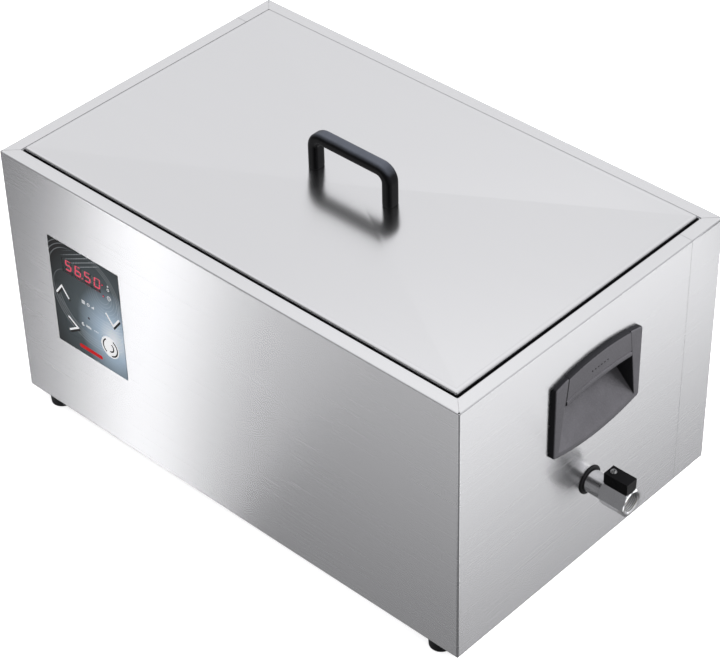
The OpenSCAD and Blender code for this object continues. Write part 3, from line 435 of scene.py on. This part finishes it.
def loft(bm, rings, closed=True, caps=(False, False), index=0):
    """Quads between rings of equally many points; a closed ring joins its last to its first."""
    rows = [[bm.verts.new(p) for p in ring] for ring in rings]
    n = len(rows[0])
    for a, b in zip(rows, rows[1:]):
        for i in range(n if closed else n - 1):
            j = (i + 1) % n
            bm.faces.new((a[i], a[j], b[j], b[i])).material_index = index
    for cap, row in zip(caps, (rows[0], rows[-1])):
        if cap:
            bm.faces.new(row).material_index = index
    return rows


AXES = {"X": (Vector((1, 0, 0)), Vector((0, 1, 0)), Vector((0, 0, 1))),
        "Y": (Vector((0, 1, 0)), Vector((0, 0, 1)), Vector((1, 0, 0))),
        "Z": (Vector((0, 0, 1)), Vector((1, 0, 0)), Vector((0, 1, 0)))}


def lathe(bm, profile, base, axis="Z", n=64, caps=(False, False), index=0, radius=None):
    """Turns a profile of (distance along the axis, radius) about the axis through base.
    radius(theta, along, r) may change the radius round the turn, as for a hexagon or a thread."""
    along, side, up = AXES[axis]
    rings = []
    for d, r in profile:
        ring = []
        for i in range(n):
            t = 2 * math.pi * i / n
            q = radius(t, d, r) if radius else r
            ring.append(Vector(base) + along * d + side * q * math.cos(t) + up * q * math.sin(t))
        rings.append(ring)
    return loft(bm, rings, True, caps, index)


def arc(cx, cy, r, a, b, n):
    return [(cx + r * math.cos(math.radians(a + (b - a) * i / n)),
             cy + r * math.sin(math.radians(a + (b - a) * i / n))) for i in range(n + 1)]


def rounded(half_l, half_w, r, n=5):
    """Outline of a rectangle with round corners, anticlockwise from its right-hand side."""
    return (arc(half_l - r, half_w - r, r, 0, 90, n) + arc(r - half_l, half_w - r, r, 90, 180, n)
            + arc(r - half_l, r - half_w, r, 180, 270, n) + arc(half_l - r, r - half_w, r, 270, 360, n))


def front_plate(bm, outline, lo, hi, at=(0, 0), bevel=0.0, index=0):
    """A plate square to Y from an outline in X and Z about at; lo is its front and hi its back."""
    x, z = at
    front = [Vector((x + p[0], lo + bevel, z + p[1])) for p in outline]
    back = [Vector((x + p[0], hi, z + p[1])) for p in outline]
    rings = [back, front]
    if bevel:
        cx = sum(p[0] for p in outline) / len(outline)
        cz = sum(p[1] for p in outline) / len(outline)
        size = max(math.hypot(p[0] - cx, p[1] - cz) for p in outline)
        k = 1 - bevel / size
        rings.append([Vector((x + cx + (p[0] - cx) * k, lo,
                              z + cz + (p[1] - cz) * k)) for p in outline])
    loft(bm, rings, True, (True, True), index)


# ---------------------------------------------------------------------------------------------
# Stage


def sky(tree):
    """A pale studio, brighter towards the top, with a dark flag round the front left horizon and a
    dark card high on the front right, which chrome mirrors by way of the wall; the camera sees
    it plain."""
    def node(kind, **settings):
        made = tree.nodes.new(kind)
        for key, value in settings.items():
            setattr(made, key, value)
        return made

    direction = node("ShaderNodeTexCoord").outputs["Generated"]

    def facing(way):
        dot = node("ShaderNodeVectorMath", operation="DOT_PRODUCT")
        tree.links.new(direction, dot.inputs[0])
        dot.inputs[1].default_value = way
        return dot.outputs["Value"]

    def step(value, lo, hi, at_lo, at_hi):
        ranged = node("ShaderNodeMapRange", interpolation_type="SMOOTHSTEP")
        tree.links.new(value, ranged.inputs[0])
        for i, number in enumerate((lo, hi, at_lo, at_hi)):
            ranged.inputs[i + 1].default_value = number
        return ranged.outputs[0]

    def combined(operation, a, b):
        made = node("ShaderNodeMath", operation=operation)
        for socket, value in zip(made.inputs, (a, b)):
            if isinstance(value, float):
                socket.default_value = value
            else:
                tree.links.new(value, socket)
        return made.outputs[0]

    height = facing((0, 0, 1))
    flag = combined("MULTIPLY", step(height, *FLAG_LOW, 0, 1), step(height, *FLAG_HIGH, 1, 0))
    flag = combined("MULTIPLY", flag, step(facing(FLAG_WAY), *FLAG_EDGE, 0, FLAG_DEPTH))
    level = combined("ADD", facing(SKY_SLOPE), SKY_LEVEL)
    level = combined("MULTIPLY", level, combined("SUBTRACT", 1.0, flag))
    level = combined("MULTIPLY", level, step(facing(CARD_WAY), *CARD_EDGE, 1, CARD_LEVEL))
    seen = node("ShaderNodeMix", data_type="FLOAT")
    tree.links.new(node("ShaderNodeLightPath").outputs["Is Camera Ray"], seen.inputs[0])
    tree.links.new(level, seen.inputs[2])
    seen.inputs[3].default_value = 1.0
    tree.nodes["Background"].inputs["Color"].default_value = (0.985, 0.985, 1, 1)
    tree.links.new(seen.outputs[0], tree.nodes["Background"].inputs["Strength"])


def stage():
    world = bpy.data.worlds.new("studio")
    bpy.context.scene.world = world
    world.use_nodes = True
    sky(world.node_tree)

    s = Shader("pale_floor")
    cloud = s.noise((3, 3, 3), 3)
    s.set(Base_Color=s.ramp(cloud, [(0.2, (0.86, 0.86, 0.865)), (0.8, (0.88, 0.88, 0.885))]),
          Roughness=0.7)
    s.set(Emission_Color=(1, 1, 1, 1), Emission_Strength=FLOOR_GLOW)
    bpy.ops.mesh.primitive_plane_add(size=30)
    floor = bpy.context.object
    floor.name = "floor"
    floor.data.materials.append(s.material)
    floor.visible_glossy = floor.visible_diffuse = floor.visible_shadow = False

    for name, at, size, glow, look, roll in LIGHTS:
        data = bpy.data.lights.new(name, "AREA")
        data.shape = "RECTANGLE"
        data.size, data.size_y = size
        data.energy = glow * math.pi * size[0] * size[1]
        lamp = bpy.data.objects.new(name, data)
        lamp.location = at
        lamp.visible_camera = False
        lamp.visible_glossy = name != MATT_LIGHT
        aim = (Vector(look) - Vector(at)).to_track_quat("-Z", "Y")
        lamp.rotation_euler = (aim @ Matrix.Rotation(math.radians(roll), 3,
                                                     "Z").to_quaternion()).to_euler()
        bpy.context.scene.collection.objects.link(lamp)


# The studio's brightness by direction, its dark flag and card, and the floor's own glow. The
# lights have a place, a size, a glow, what each one faces, and a roll in degrees. MATT_LIGHT
# lights surfaces but shows in no highlight. All of these were tuned by comparing brightness in
# the render and the photograph.
SKY_LEVEL = 0.592
SKY_SLOPE = (-0.047, 0.085, 0.50)
FLAG_WAY = (-0.5, -0.866, 0)
FLAG_LOW = (-0.28, -0.10)
FLAG_HIGH = (0.30, 0.48)
FLAG_EDGE = (0.2, 0.75)
FLAG_DEPTH = 0.62
CARD_WAY = (0.53, -0.60, 0.58)
CARD_EDGE = (0.86, 0.95)
CARD_LEVEL = 0.03
FLOOR_GLOW = 0.75
MATT_LIGHT = "key_right"
LIGHTS = [
    ("top_softbox", (-0.80, 1.00, 1.73), (0.5, 0.5), 0.15, (0.28, -0.18, 0.29), 0),
    ("low_strip", (-0.70, -0.70, -0.37), (0.07, 0.9), 3.5, (-0.18, -0.18, 0.28), -4),
    ("front_fill", (-0.36, -0.72, -0.15), (0.95, 0.44), 0.62, (-0.36, 0.0, -0.13), 0),
    ("right_fill", (0.76, 0.48, -0.17), (0.85, 0.50), 1.48, (0.0, 0.46, -0.15), 0),
    ("key_right", (1.15, 0.95, 1.30), (0.7, 0.7), 36, (0.27, 0.0, 0.2), 0),
]


# The camera's focal length in millimetres, its place and aim about the housing, and its roll,
# fitted to the photograph's corners
LENS = 121.9
EYE = (1246.4, -1297.8, 1574.1)
AIM = (12.9, -9.5, 133.5)
ROLL = -1.484


def camera():
    data = bpy.data.cameras.new("camera")
    data.lens = LENS
    data.sensor_width = 36.0
    eye = PLACE @ Vector(EYE)
    aim = PLACE @ Vector(AIM)
    made = bpy.data.objects.new("camera", data)
    roll = Matrix.Rotation(math.radians(ROLL), 4, "Z").to_quaternion()
    turn = (aim - eye).to_track_quat("-Z", "Y") @ roll
    made.rotation_mode = "QUATERNION"
    made.rotation_quaternion = turn
    made.location = eye
    data.clip_start, data.clip_end = 0.05, 60
    bpy.context.scene.collection.objects.link(made)
    bpy.context.scene.camera = made


stage()
camera()
bpy.context.scene.view_settings.view_transform = "Standard"

# ---------------------------------------------------------------------------------------------
# Housing


def wrap_sort(face):
    return 1 if abs(face.normal.z) > 0.9 else 0


def housing():
    for node in ("front_wrap", "rear_wrap"):
        refined(node, material=[M["wall"], M["flange"]], sort=wrap_sort)
    refined("base_plate", 0.2, 1)
    refined("feet", 1.1, 3)
    for node in ("base_screws", "foot_screws"):
        refined(node, 0.35)
    refined("tank", angle=28)
    refined("lid_seal", 0.3, 1)
    refined("false_bottom", 0.2, 1)
    for node in ("temperature_probe", "probe_gland", "drain_nipple", "shaft_seal"):
        refined(node, 0.25, 1)


# ---------------------------------------------------------------------------------------------
# Lid


def lid():
    """A folded sheet: skirt, rounded rim and a cross-broken dish, creases fading to the middle."""
    lo, hi = local("lid_panel")
    half_l, half_w, rim = hi.x, hi.y, hi.z
    dish = 5.5
    sheet, bend, land = 1.0, 2.2, 4.2
    top = []                                    # (inset, height) from the skirt's edge to the dish
    top += [(0.25, lo.z), (0, lo.z + 0.25), (0, rim - bend)]
    top += [(bend - x, rim - bend + z) for x, z in arc(0, 0, bend, 0, 90, 7)[1:]]
    top += [(land - 0.9, rim), (land - 0.2, rim - 0.03), (land + 0.6, rim - 0.1)]
    under = [(land + sheet, rim - sheet - 0.1), (land, rim - sheet), (bend, rim - sheet),
             (sheet + 0.3, rim - sheet - 0.3), (sheet, rim - bend), (sheet, lo.z)]

    def ring(inset, z):
        r = max(1.8 - inset * 0.3, 0.5)
        return [Vector((x, y, z)) for x, y in rounded(half_l - inset, half_w - inset, r)]

    bm = bmesh.new()
    upper = loft(bm, [ring(*p) for p in top])
    lower = loft(bm, [ring(*p) for p in under])
    for rows, z, start in ((upper, rim - dish, -1), (lower, rim - dish - sheet, 0)):
        peak = bm.verts.new((0, 0, z))
        edge = rows[start]
        for i in range(len(edge)):
            bm.faces.new((edge[i], edge[(i + 1) % len(edge)], peak)).smooth = False
    for i in range(len(upper[0])):
        j = (i + 1) % len(upper[0])
        bm.faces.new((upper[0][i], upper[0][j], lower[-1][j], lower[-1][i]))
    made = piece("lid_panel_finished", bm, M["lid"], "lid_panel", 50)
    for f in made.data.polygons:
        f.use_smooth = f.area < 0.004
    refined("lid_handle_screws", 0.4)
    refined("lid_handle_washers", 0.2, 1)


def lid_handle():
    """A rounded bar bent over two legs, with feet drawn in a little at the edge where they meet the lid."""
    lo, hi = local("lid_handle")
    half, width = hi.x, hi.y + 0.9
    thick, bend = 11.4, 17.0
    centre_x, centre_z = half - thick / 2, hi.z - thick / 2
    r = bend - thick / 2
    legs = [(centre_x, lo.z, 0), (centre_x, lo.z + 1.2, 0), (centre_x, lo.z + 8, 0)]
    corner = [(centre_x - r + x, centre_z - r + z, i * 9.0) for i,
              (x, z) in enumerate(arc(0, 0, r, 0, 90, 10))]
    path = legs + corner + [(centre_x - r - 8, centre_z, 90), (0, centre_z, 90)]
    path += [(-x, z, 180 - a) for x, z, a in reversed(path[:-1])]
    bm = bmesh.new()
    rings = []
    for i, (x, z, a) in enumerate(path):
        inset = 0.45 if i in (0, len(path) - 1) else 0
        out = Vector((math.cos(math.radians(a)), 0, math.sin(math.radians(a))))
        section = rounded(thick / 2 - inset, width - inset, 4.4 - inset, 8)
        rings.append([Vector((x, v, z)) + out * u for u, v in section])
    loft(bm, rings, True, (True, True))
    piece("lid_handle_finished", bm, M["handle_black"], "lid_handle", 40)


# ---------------------------------------------------------------------------------------------
# Side handles. u is the distance out of the wall and v the height above the handle's middle.

FRAME_HALF = 59.5
FRAME_SIDE = 38.5
FRAME_BOW = 7.8
BOW_R = (FRAME_HALF ** 2 + FRAME_BOW ** 2) / (2 * FRAME_BOW)
BOW_DROP = BOW_R - FRAME_SIDE - FRAME_BOW
FRAME_OUT = 5.0
BAND = 6.2
GRIP_LOW = 16.0
FLOOR_SLOPE = 50 / 29


def mouth_side(v):
    """Half width of the recess at height v, narrower towards the top."""
    return 52 - 6 * (v + FRAME_SIDE - 5) / (GRIP_LOW + FRAME_SIDE - 5)


def bow(y, shrink):
    """Height of the lower bow at y; the upper one is its mirror image."""
    return BOW_DROP - math.sqrt((BOW_R - shrink) ** 2 - y * y)


def four_sided(bottom, top, side, r, seam=None, across=20, up=8):
    """Points (y, v, lowered) round an outline: bottom and top give v at y, side gives y at v.
    Between plus and minus seam, the top edge is marked as lowered."""
    yb, yt = side(-FRAME_SIDE), side(GRIP_LOW)
    for _ in range(6):
        vb, vt = bottom(yb), top(yt)
        yb, yt = side(vb), side(vt)
    seam = min(yt, seam if seam is not None else yt)

    def corner(a, c, b):
        """Three points of a rounded corner from a to b with its control point at c."""
        out = []
        for t in (0.25, 0.5, 0.75):
            out.append(tuple(a[i] * (1 - t) ** 2 + 2 * c[i] * t * (1 - t) + b[i] * t * t for i in (0, 1)) + (0,))
        return out

    low_v, high_v = vb + r, vt - r
    br0, br1 = (yb - r, bottom(yb - r)), (side(low_v), low_v)
    tr0, tr1 = (side(high_v), high_v), (yt - r, top(yt - r))
    points = [(y, bottom(y), 0) for y in [(-1 + 2 * i / across) * (yb - r) for i in range(across + 1)]]
    points += corner(br0, (yb, vb), br1)
    points += [(side(v), v, 0) for v in [low_v + (high_v - low_v) * i / up for i in range(up + 1)]]
    points += corner(tr0, (yt, vt), tr1)
    edge = max(seam, 0)
    half = [tr1[0] + (edge - tr1[0]) * i / 4 for i in range(5)] if edge < tr1[0] else [tr1[0]] * 5
    edge = min(edge, tr1[0])
    inner = [edge * (1 - 2 * i / across) for i in range(across + 1)]
    points += [(y, top(y), 0) for y in half] + [(y, top(y), 1) for y in inner]
    points += [(-y, top(y), 0) for y in reversed(half)]
    mirrored = [(-y, v, m) for y, v, m in reversed(corner(tr0, (yt, vt), tr1))]
    points += mirrored
    points += [(-side(v), v, 0) for v in [high_v + (low_v - high_v) * i / up for i in range(up + 1)]]
    points += [(-y, v, m) for y, v, m in reversed(corner(br0, (yb, vb), br1))]
    return points


def handle(side_name, sign):
    """The frame and its recess in one skin, then the grip that clips over the top of the frame."""
    node = "handle_" + side_name
    lo, hi = local(node)
    middle = (lo.z + hi.z) / 2

    def at(u, y, v):
        return Vector((sign * (WALL_X + u), y, middle + v))

    def outline(shrink, u):
        seam = mouth_side(FRAME_SIDE + 5) - 0.05
        ring = four_sided(lambda y: bow(y, shrink), lambda y: -bow(y, shrink),
                          lambda v: FRAME_HALF - shrink,
                          max(2.6 - shrink, 1), seam)
        return [at(u - 1.5 * m if u > 2 else u, y, v) for y, v, m in ring]

    def mouth(grow, u, top_v, rise=0.0, narrow=0.0, lowered=1.5):
        ring = four_sided(lambda y: bow(y, BAND + grow) + rise, lambda y: top_v,
                          lambda v: mouth_side(v) - grow - narrow, 1.6)
        return [at(u - lowered * m, y, v) for y, v, m in ring]

    bm = bmesh.new()
    rings = [outline(0, 0), outline(0, FRAME_OUT - 1.5), outline(0.18, FRAME_OUT - 0.8),
             outline(0.65, FRAME_OUT - 0.25), outline(1.4, FRAME_OUT)]
    rings += [mouth(-0.9, FRAME_OUT, GRIP_LOW + 1), mouth(-0.35, FRAME_OUT - 0.12, GRIP_LOW + 1),
              mouth(0, FRAME_OUT - 0.6, GRIP_LOW + 1)]
    back = -24.0
    for u, top_v in ((3.0, GRIP_LOW + 1), (-1.0, GRIP_LOW + 1), (-1.6, 33.5), (-10, 34), (-17, 34),
                     (back, 33)):
        inwards = FRAME_OUT - u
        rings.append(mouth(0, u, top_v, FLOOR_SLOPE * inwards, 5 * inwards / 29, 0))
    # painted shade: the frame's outer sides take the darker plastic
    loft(bm, rings[:3], True, index=1)
    loft(bm, rings[2:], True, (False, True))
    bm.normal_update()
    for f in bm.faces:                          # painted shade: the recess's end walls are dark plastic
        out = abs(f.calc_center_median().x) - WALL_X
        if out < FRAME_OUT - 0.7 and abs(f.normal.y) > 0.55:
            f.material_index = 1
    piece(node + "_finished", bm, [M["grey_plastic"], M["painted_shade_and_dot_plastic"]], node, 34)

    # The grip's section, from the top of the frame down its face and round the lip, swept along Y
    bm = bmesh.new()
    gap, arch = 1.1, 3.0
    section_face = [(0.3, None, -0.35), (3.2, None, -0.35), (4.4, None, 0.15), (5.0, None, 1.0),
                    (5.3, None, 2.2),
                    (5.3, 20.6, 0), (5.2, 20.0, 0), (4.5, 19.6, 0), (4.5, 19.0, 0), (5.8, 18.3, 0),
                    (6.0, 17.6, 0),
                    (5.9, 15.4, 0), (5.5, 14.3, 0), (4.2, 13.9, 0), (2.5, 13.9, 0), (1.0, 14.6, 0),
                    (0.3, 15.6, 0)]
    steps = 44
    rings = []
    for i in range(steps + 1):
        t = -1 + 2 * i / steps
        ring = []
        for u, v, shrink in section_face:
            if v is None:
                y = t * (mouth_side(FRAME_SIDE + 4) - gap)
                v = -bow(y, shrink)
                y = t * (mouth_side(v) - gap)
                v = -bow(y, shrink)
            else:
                y = t * (mouth_side(max(v, 16)) - gap)
                v += arch * (1 - t * t)
            ring.append(at(u, y, v))
        rings.append(ring)
    loft(bm, rings, True, (True, True))
    bm.normal_update()
    for f in bm.faces:                          # painted shade: the top edge takes the same darker plastic as the frame's sides
        if f.calc_center_median().z > middle + 30 and f.normal.z > 0.5:
            f.material_index = 1
    for k in range(6):                          # a row of raised dots
        dot = [(-0.1, 0.8), (0.18, 0.75), (0.3, 0.5), (0.36, 0.01)]
        lathe(bm, [(sign * d, r) for d, r in dot], at(5.3, (k - 2.5) * 4.2, 31.5), "X", 12, index=1)
    seam_y, seam_top = mouth_side(GRIP_LOW), mouth_side(FRAME_SIDE + 4)
    for t in (-1, 1):                           # painted shade: dark strips set into the joints between the grip and the frame
        low = [(t * (seam_y - gap * k), GRIP_LOW + 1) for k in (0, 1)]
        high = [(t * (seam_top - gap * k), -bow(seam_top, 1.2)) for k in (1, 0)]
        loft(bm, [[at(u, y, v) for y, v in low + high] for u in (3.4, FRAME_OUT + 0.03)], True,
             (True, True), 1)
    piece("grip_" + side_name + "_finished", bm, [M["grey_plastic"], M["painted_shade_and_dot_plastic"]],
          "grip_" + side_name, 38)


# ---------------------------------------------------------------------------------------------
# Drain valve


def across_flats(flats):
    """The radius function of a bar with two flats square to the axis the angle is measured from."""
    def shape(t, _, r):
        turn = math.degrees(t) % 60 - 30
        return min(flats / 2 / math.cos(math.radians(turn)), r)
    return shape


def valve():
    lo, hi = local("valve_body")
    ring_lo, ring_hi = local("wall_grommet")
    axis_z = (ring_lo.z + ring_hi.z) / 2
    screw_lo, screw_hi = local("lever_screw")
    stem_x = (screw_lo.x + screw_hi.x) / 2
    bore_r, tube_r, flats, mouth_r, pitch = 10.45, 11.2, 25.0, 9.3, 1.814
    hex_x, end_x = WALL_X + 20, hi.x
    bar = across_flats(flats)

    def hexagon(t, x, r):
        return bar(t, x, r) if r > tube_r + 0.6 else r

    # tube, a turned groove, the chamfered hexagon and the turned face of the mouth
    bm = bmesh.new()
    corner = flats / 2 / math.cos(math.radians(30))
    outer = [(lo.x, bore_r - 0.8), (lo.x + 0.8, bore_r), (WALL_X + 0.2, bore_r),
             (WALL_X + 0.4, tube_r), (hex_x - 1.9, tube_r), (hex_x - 1.7, tube_r - 0.7),
             (hex_x - 0.9, tube_r - 0.7), (hex_x - 0.7, tube_r + 0.3), (hex_x - 0.1, tube_r + 0.5),
             (hex_x, flats / 2 + 0.2), (hex_x + 0.5, flats / 2 + 1.2), (hex_x + 1.0, corner),
             (end_x - 1.3, corner),
             (end_x - 0.8, flats / 2 + 1.2), (end_x - 0.3, flats / 2 + 0.2),
             (end_x, flats / 2 - 0.5),
             (end_x, mouth_r + 1.5), (end_x - 0.15, mouth_r + 1.3), (end_x - 0.9, mouth_r + 0.4)]
    lathe(bm, outer, (0, 0, axis_z), "X", 96, radius=hexagon)
    # female thread, cut as a helix
    depth, steps = 10.0, 60

    def thread(t, x, _):
        phase = ((end_x - x) / pitch + t / (2 * math.pi)) % 1
        fade = min(1, (end_x - 0.9 - x) / 1.2, (x - (end_x - depth)) / 1.2)
        return mouth_r + 0.4 * (x > end_x - 1) + 1.05 * abs(2 * phase - 1) * max(fade, 0)

    rows = [(end_x - 0.9 - (depth - 0.9) * i / steps, 0) for i in range(steps + 1)]
    lathe(bm, rows, (0, 0, axis_z), "X", 96, radius=thread, index=1)
    # painted shade: the thread's roots keep the dark bore metal and only the crests go back to chrome
    for f in bm.faces:
        centre = f.calc_center_median()
        if f.material_index == 1 and math.hypot(centre.y, centre.z - axis_z) < mouth_r + 0.6:
            f.material_index = 0
    # painted shade: the chamber behind the thread is lined with the dark bore metal
    chamber = [(end_x - depth, mouth_r), (end_x - depth, 8.4), (stem_x - 9, 8.4),
               (stem_x - 9.2, 5.2), (lo.x, 5.2),
               (lo.x, bore_r - 0.8)]
    lathe(bm, chamber, (0, 0, axis_z), "X", 96, index=1)
    # neck with its packing nut
    neck = hi.z
    nut = across_flats(9.6)

    def packing_nut(t, z, r):
        return nut(t, z, r) if r > 5.02 else r

    profile = [(axis_z + 9, 5.0), (neck - 4.6, 5.0), (neck - 4.2, 5.3), (neck - 0.8, 5.3),
               (neck - 0.4, 4.9),
               (neck - 0.1, 4.4), (neck - 0.1, 2.6)]
    lathe(bm, profile, (stem_x, 0, 0), "Z", 72, radius=packing_nut)
    piece("valve_body_finished", bm, [M["chrome"], M["painted_shade_bore"]], "valve_body", 24)

    # rubber grommet: a rolled ring against the wall
    bm = bmesh.new()
    roll = [(WALL_X - 2.8, 10.6), (WALL_X - 2.8, 14), (WALL_X - 1.1, 14), (WALL_X - 1.0, 12),
            (WALL_X - 0.02, 12),
            (WALL_X + 0.02, 14.2), (WALL_X + 0.3, 14.5), (WALL_X + 1.0, 14.45),
            (WALL_X + 1.4, 14.0),
            (WALL_X + 1.5, 13.2), (WALL_X + 1.4, 12.2), (WALL_X + 0.9, 11.35), (WALL_X + 0.2, 10.6),
            (WALL_X - 2.8, 10.6)]
    lathe(bm, roll, (0, 0, axis_z), "X", 72)
    piece("wall_grommet_finished", bm, M["black_rubber"], "wall_grommet", 45)

    # box lever, with a plain raised flow mark on each of its sides
    lever_lo, lever_hi = local("valve_lever")
    refined("valve_lever", 0.45, 3, angle=40, material=M["lever_black"])
    bm = bmesh.new()
    middle = Vector(((lever_lo.x + lever_hi.x) / 2 - 2, 0, (lever_lo.z + lever_hi.z) / 2))
    for side in (-1, 1):
        y = lever_hi.y * side
        for outline in (stroke(arc(0, 0, 3.4, 25, 335, 20), 0.6),
                        [(4.4, 0), (1.2, 1.9), (1.2, -1.9)]):
            front_plate(bm, outline, y - 0.22 * side, y + 0.18 * side, (middle.x, middle.z))
    piece("valve_lever_flow_marks", bm, M["lever_black"], [], 40, body=BODY_OF["valve_lever"])

    # socket screw with a washer face on the stem's end
    bm = bmesh.new()
    z, top = screw_lo.z, screw_hi.z
    socket = across_flats(2.2)
    profile = [(z, 2.95), (z + 0.15, 3.1), (z + 0.5, 3.1), (z + 0.65, 2.95), (z + 0.66, 2.4),
               (top - 0.3, 2.4),
               (top - 0.08, 2.25), (top, 1.95), (top, 1.2), (top - 0.9, 1.2), (top - 0.9, 0.01)]
    lathe(bm, profile, (stem_x, 0, 0), "Z", 60, caps=(True, False),
          radius=lambda t, z, r: socket(t, z, r) if 0.1 < r < 1.5 else r)
    piece("lever_screw_finished", bm, M["fastener_steel"], "lever_screw", 30)
    for node in ("seat_retainer", "valve_seats", "valve_ball", "valve_stem"):
        refined(node, 0.2, 1)


# ---------------------------------------------------------------------------------------------
# Control panel. u and w are millimetres right and up from the film's lower left corner.


def stroke(points, width):
    """Outline of a line of one width through points, with mitred corners and square ends."""
    left, right = [], []
    last = len(points) - 1
    for i in range(last + 1):
        here = Vector(points[i])
        after = (Vector(points[min(i + 1, last)]) - here).normalized()
        before = (here - Vector(points[max(i - 1, 0)])).normalized()
        before, after = before if i else after, after if i < last else before
        along = (before + after).normalized()
        out = Vector((-along.y, along.x)) * (width / 2 / max(along.dot(before), 0.3))
        left.append(here + out)
        right.append(here - out)
    return left + right[::-1]


def circle(u, w, r, n=40):
    return arc(u, w, r, 0, 360 - 360 / n, n - 1)


def shifted(outline, du, dw):
    return [(p[0] + du, p[1] + dw) for p in outline]


def panel():
    lo = local("control_overlay")[0]
    for node in ("control_overlay", "key_up", "key_down", "key_right", "key_power"):
        refined(node, 0.06, 1)
    refined("display_window", 0.08, 1)
    refined("display_module", 0.2, 1)

    def printed(name, body, shapes, ink, rise):
        """Raised ink on the front of the film or of a key."""
        bm = bmesh.new()
        for outline in shapes:
            front_plate(bm, outline, lo.y - rise, lo.y + 0.02, (lo.x, lo.z))
        piece(name, bm, M[ink], [], body=body)

    chevrons = {"key_up": [(4.6, 59.6), (13.2, 71.0), (22.0, 59.2)],
                "key_down": [(74.2, 70.2), (83.4, 58.8), (92.4, 70.4)],
                "key_right": [(18.0, 37.2), (30.6, 29.0), (17.8, 20.8)]}
    for key, points in chevrons.items():
        body = BODY_OF[key]
        printed(key + "_chevron", body, [stroke(points, 1.9)], "print_white", 0.10)
        printed(key + "_chevron_shadow", body, [stroke(shifted(points, 1.3, -1.9), 2.2)],
                "print_black", 0.06)
    key_lo, key_hi = local("key_power")
    u, w = (key_lo.x + key_hi.x) / 2 - lo.x, (key_lo.z + key_hi.z) / 2 - lo.z
    body = BODY_OF["key_power"]
    printed("key_power_disc", body, [circle(u, w, 12.1, 64)], "print_white", 0.06)
    rings = [stroke(arc(u, w, 9.3, 122, 234, 24), 1.6), stroke(arc(u, w, 10, -84, 62, 30), 1.7),
             stroke(arc(u, w, 4.9, -96, 62, 20), 1.7)]
    printed("key_power_arcs", body, rings, "print_black", 0.10)

    # small plain signs on the film: thermometer, timer, and two rows of marks over and under
    # the lamp
    signs = [circle(81.0, 104.2, 0.95, 20), stroke(arc(81.0, 100.0, 1.3, 0, 360, 20), 0.5),
             stroke(arc(81.2, 90.2, 2.3, -30, 300, 24),
                    0.55), stroke([(81.2, 91.8), (81.2, 90.2), (82.4, 89.4)], 0.5)]
    for i in range(3):
        signs.append(stroke([(40.5, 68.0 - 1.5 * i), (45.0, 68.0 - 1.5 * i)], 0.75))
        signs.append(stroke([(54.3 + 1.4 * i, 65.0), (54.3 + 1.4 * i, 66.0 + i)], 0.8))
        signs.append(circle(55.2 + 2.2 * i, 38.4, 0.6, 16))
    signs += [stroke(arc(49.6, 66.5, 1.5, 0, 360, 24), 0.6),
              stroke(arc(39.0, 38.2, 1.6, 60, 330, 24), 0.65),
              stroke([(39.0, 39.6), (39.0, 38.2), (40.0, 37.7)], 0.5)]
    for i in range(2):
        wave = [(43.2 + 0.5 * k, 39.0 - 1.5 * i + 0.45 * math.sin(k * 0.9)) for k in range(15)]
        signs.append(stroke(wave, 0.6))
    body = BODY_OF["control_overlay"]
    printed("panel_signs", body, signs, "print_white", 0.05)
    printed("panel_red_bar", body, [shifted(rounded(16, 2.2, 2.0), 46.5, 8.8)], "print_red", 0.05)

    # four digits of seven bars each, with a point after the second
    seg_lo, seg_hi = local("digit_segments")
    win_lo, win_hi = local("display_window")
    centre_x, centre_z = (win_lo.x + win_hi.x) / 2, (win_lo.z + win_hi.z) / 2
    half_w, half_h, thick, pitch, slant = 3.5, 5.6, 1.25, 13.2, 0.12
    places = {"a": (0, 1), "b": (1, 0.5), "c": (1, -0.5), "d": (0, -1), "e": (-1, -0.5),
              "f": (-1, 0.5), "g": (0, 0)}
    lit = ("afgcd", "afedcg", "afgcd", "abcdef")
    bm = bmesh.new()
    for digit in range(4):
        x0 = centre_x + (digit - 1.5) * pitch
        for bar_name, (across, up) in places.items():
            flat = across == 0
            reach = (half_w if flat else half_h / 2) - 0.15
            tip = [(reach, 0), (reach - thick / 2, thick / 2), (thick / 2 - reach, thick / 2),
                   (-reach, 0),
                   (thick / 2 - reach, -thick / 2), (reach - thick / 2, -thick / 2)]
            outline = [(p if flat else (p[1], p[0])) for p in tip]
            outline = [(x + across * half_w, z + up * half_h) for x, z in outline]
            outline = [(x + slant * z, z) for x, z in outline]
            front_plate(bm, outline, seg_lo.y, seg_hi.y, (x0, centre_z),
                        index=0 if bar_name in lit[digit] else 1)
        point = circle(half_w + 1.9, -half_h, 0.75, 16)
        front_plate(bm, point, seg_lo.y, seg_hi.y, (x0, centre_z), index=0 if digit == 1 else 1)
    piece("digit_segments_finished", bm, [M["red_led"], M["segment_off"]], "digit_segments")

    # lamps: a low dome each, lit in the middle except for the lower one
    led_back = local("indicator_leds")[1].y
    bm = bmesh.new()
    for (u, w), on in (((48.2, 49.6), False), ((73.5, 102.3), True), ((73.5, 89.2), True)):
        base = (lo.x + u, lo.y, lo.z + w)
        lathe(bm, [(-0.16, 0.01), (-0.15, 0.35), (-0.12, 0.65)], base, "Y", 24,
              index=0 if on else 1)
        lathe(bm, [(-0.12, 0.65), (0.0, 0.9), (0.2, 1.28), (led_back - lo.y, 1.28)], base, "Y", 24,
              (False, True), 1)
    piece("indicator_leds_finished", bm, [M["red_led"], M["lens_off"]], "indicator_leds")


def inlet():
    refined("mains_inlet", 0.5, 3)
    refined("inlet_screws", 0.3)


housing()
lid()
lid_handle()
handle("right", 1)
handle("left", -1)
valve()
panel()
inlet()

for name, node in NODES.items():
    if not node.hide_render:
        node.data.materials[0] = M[SLOT_OF[name]]
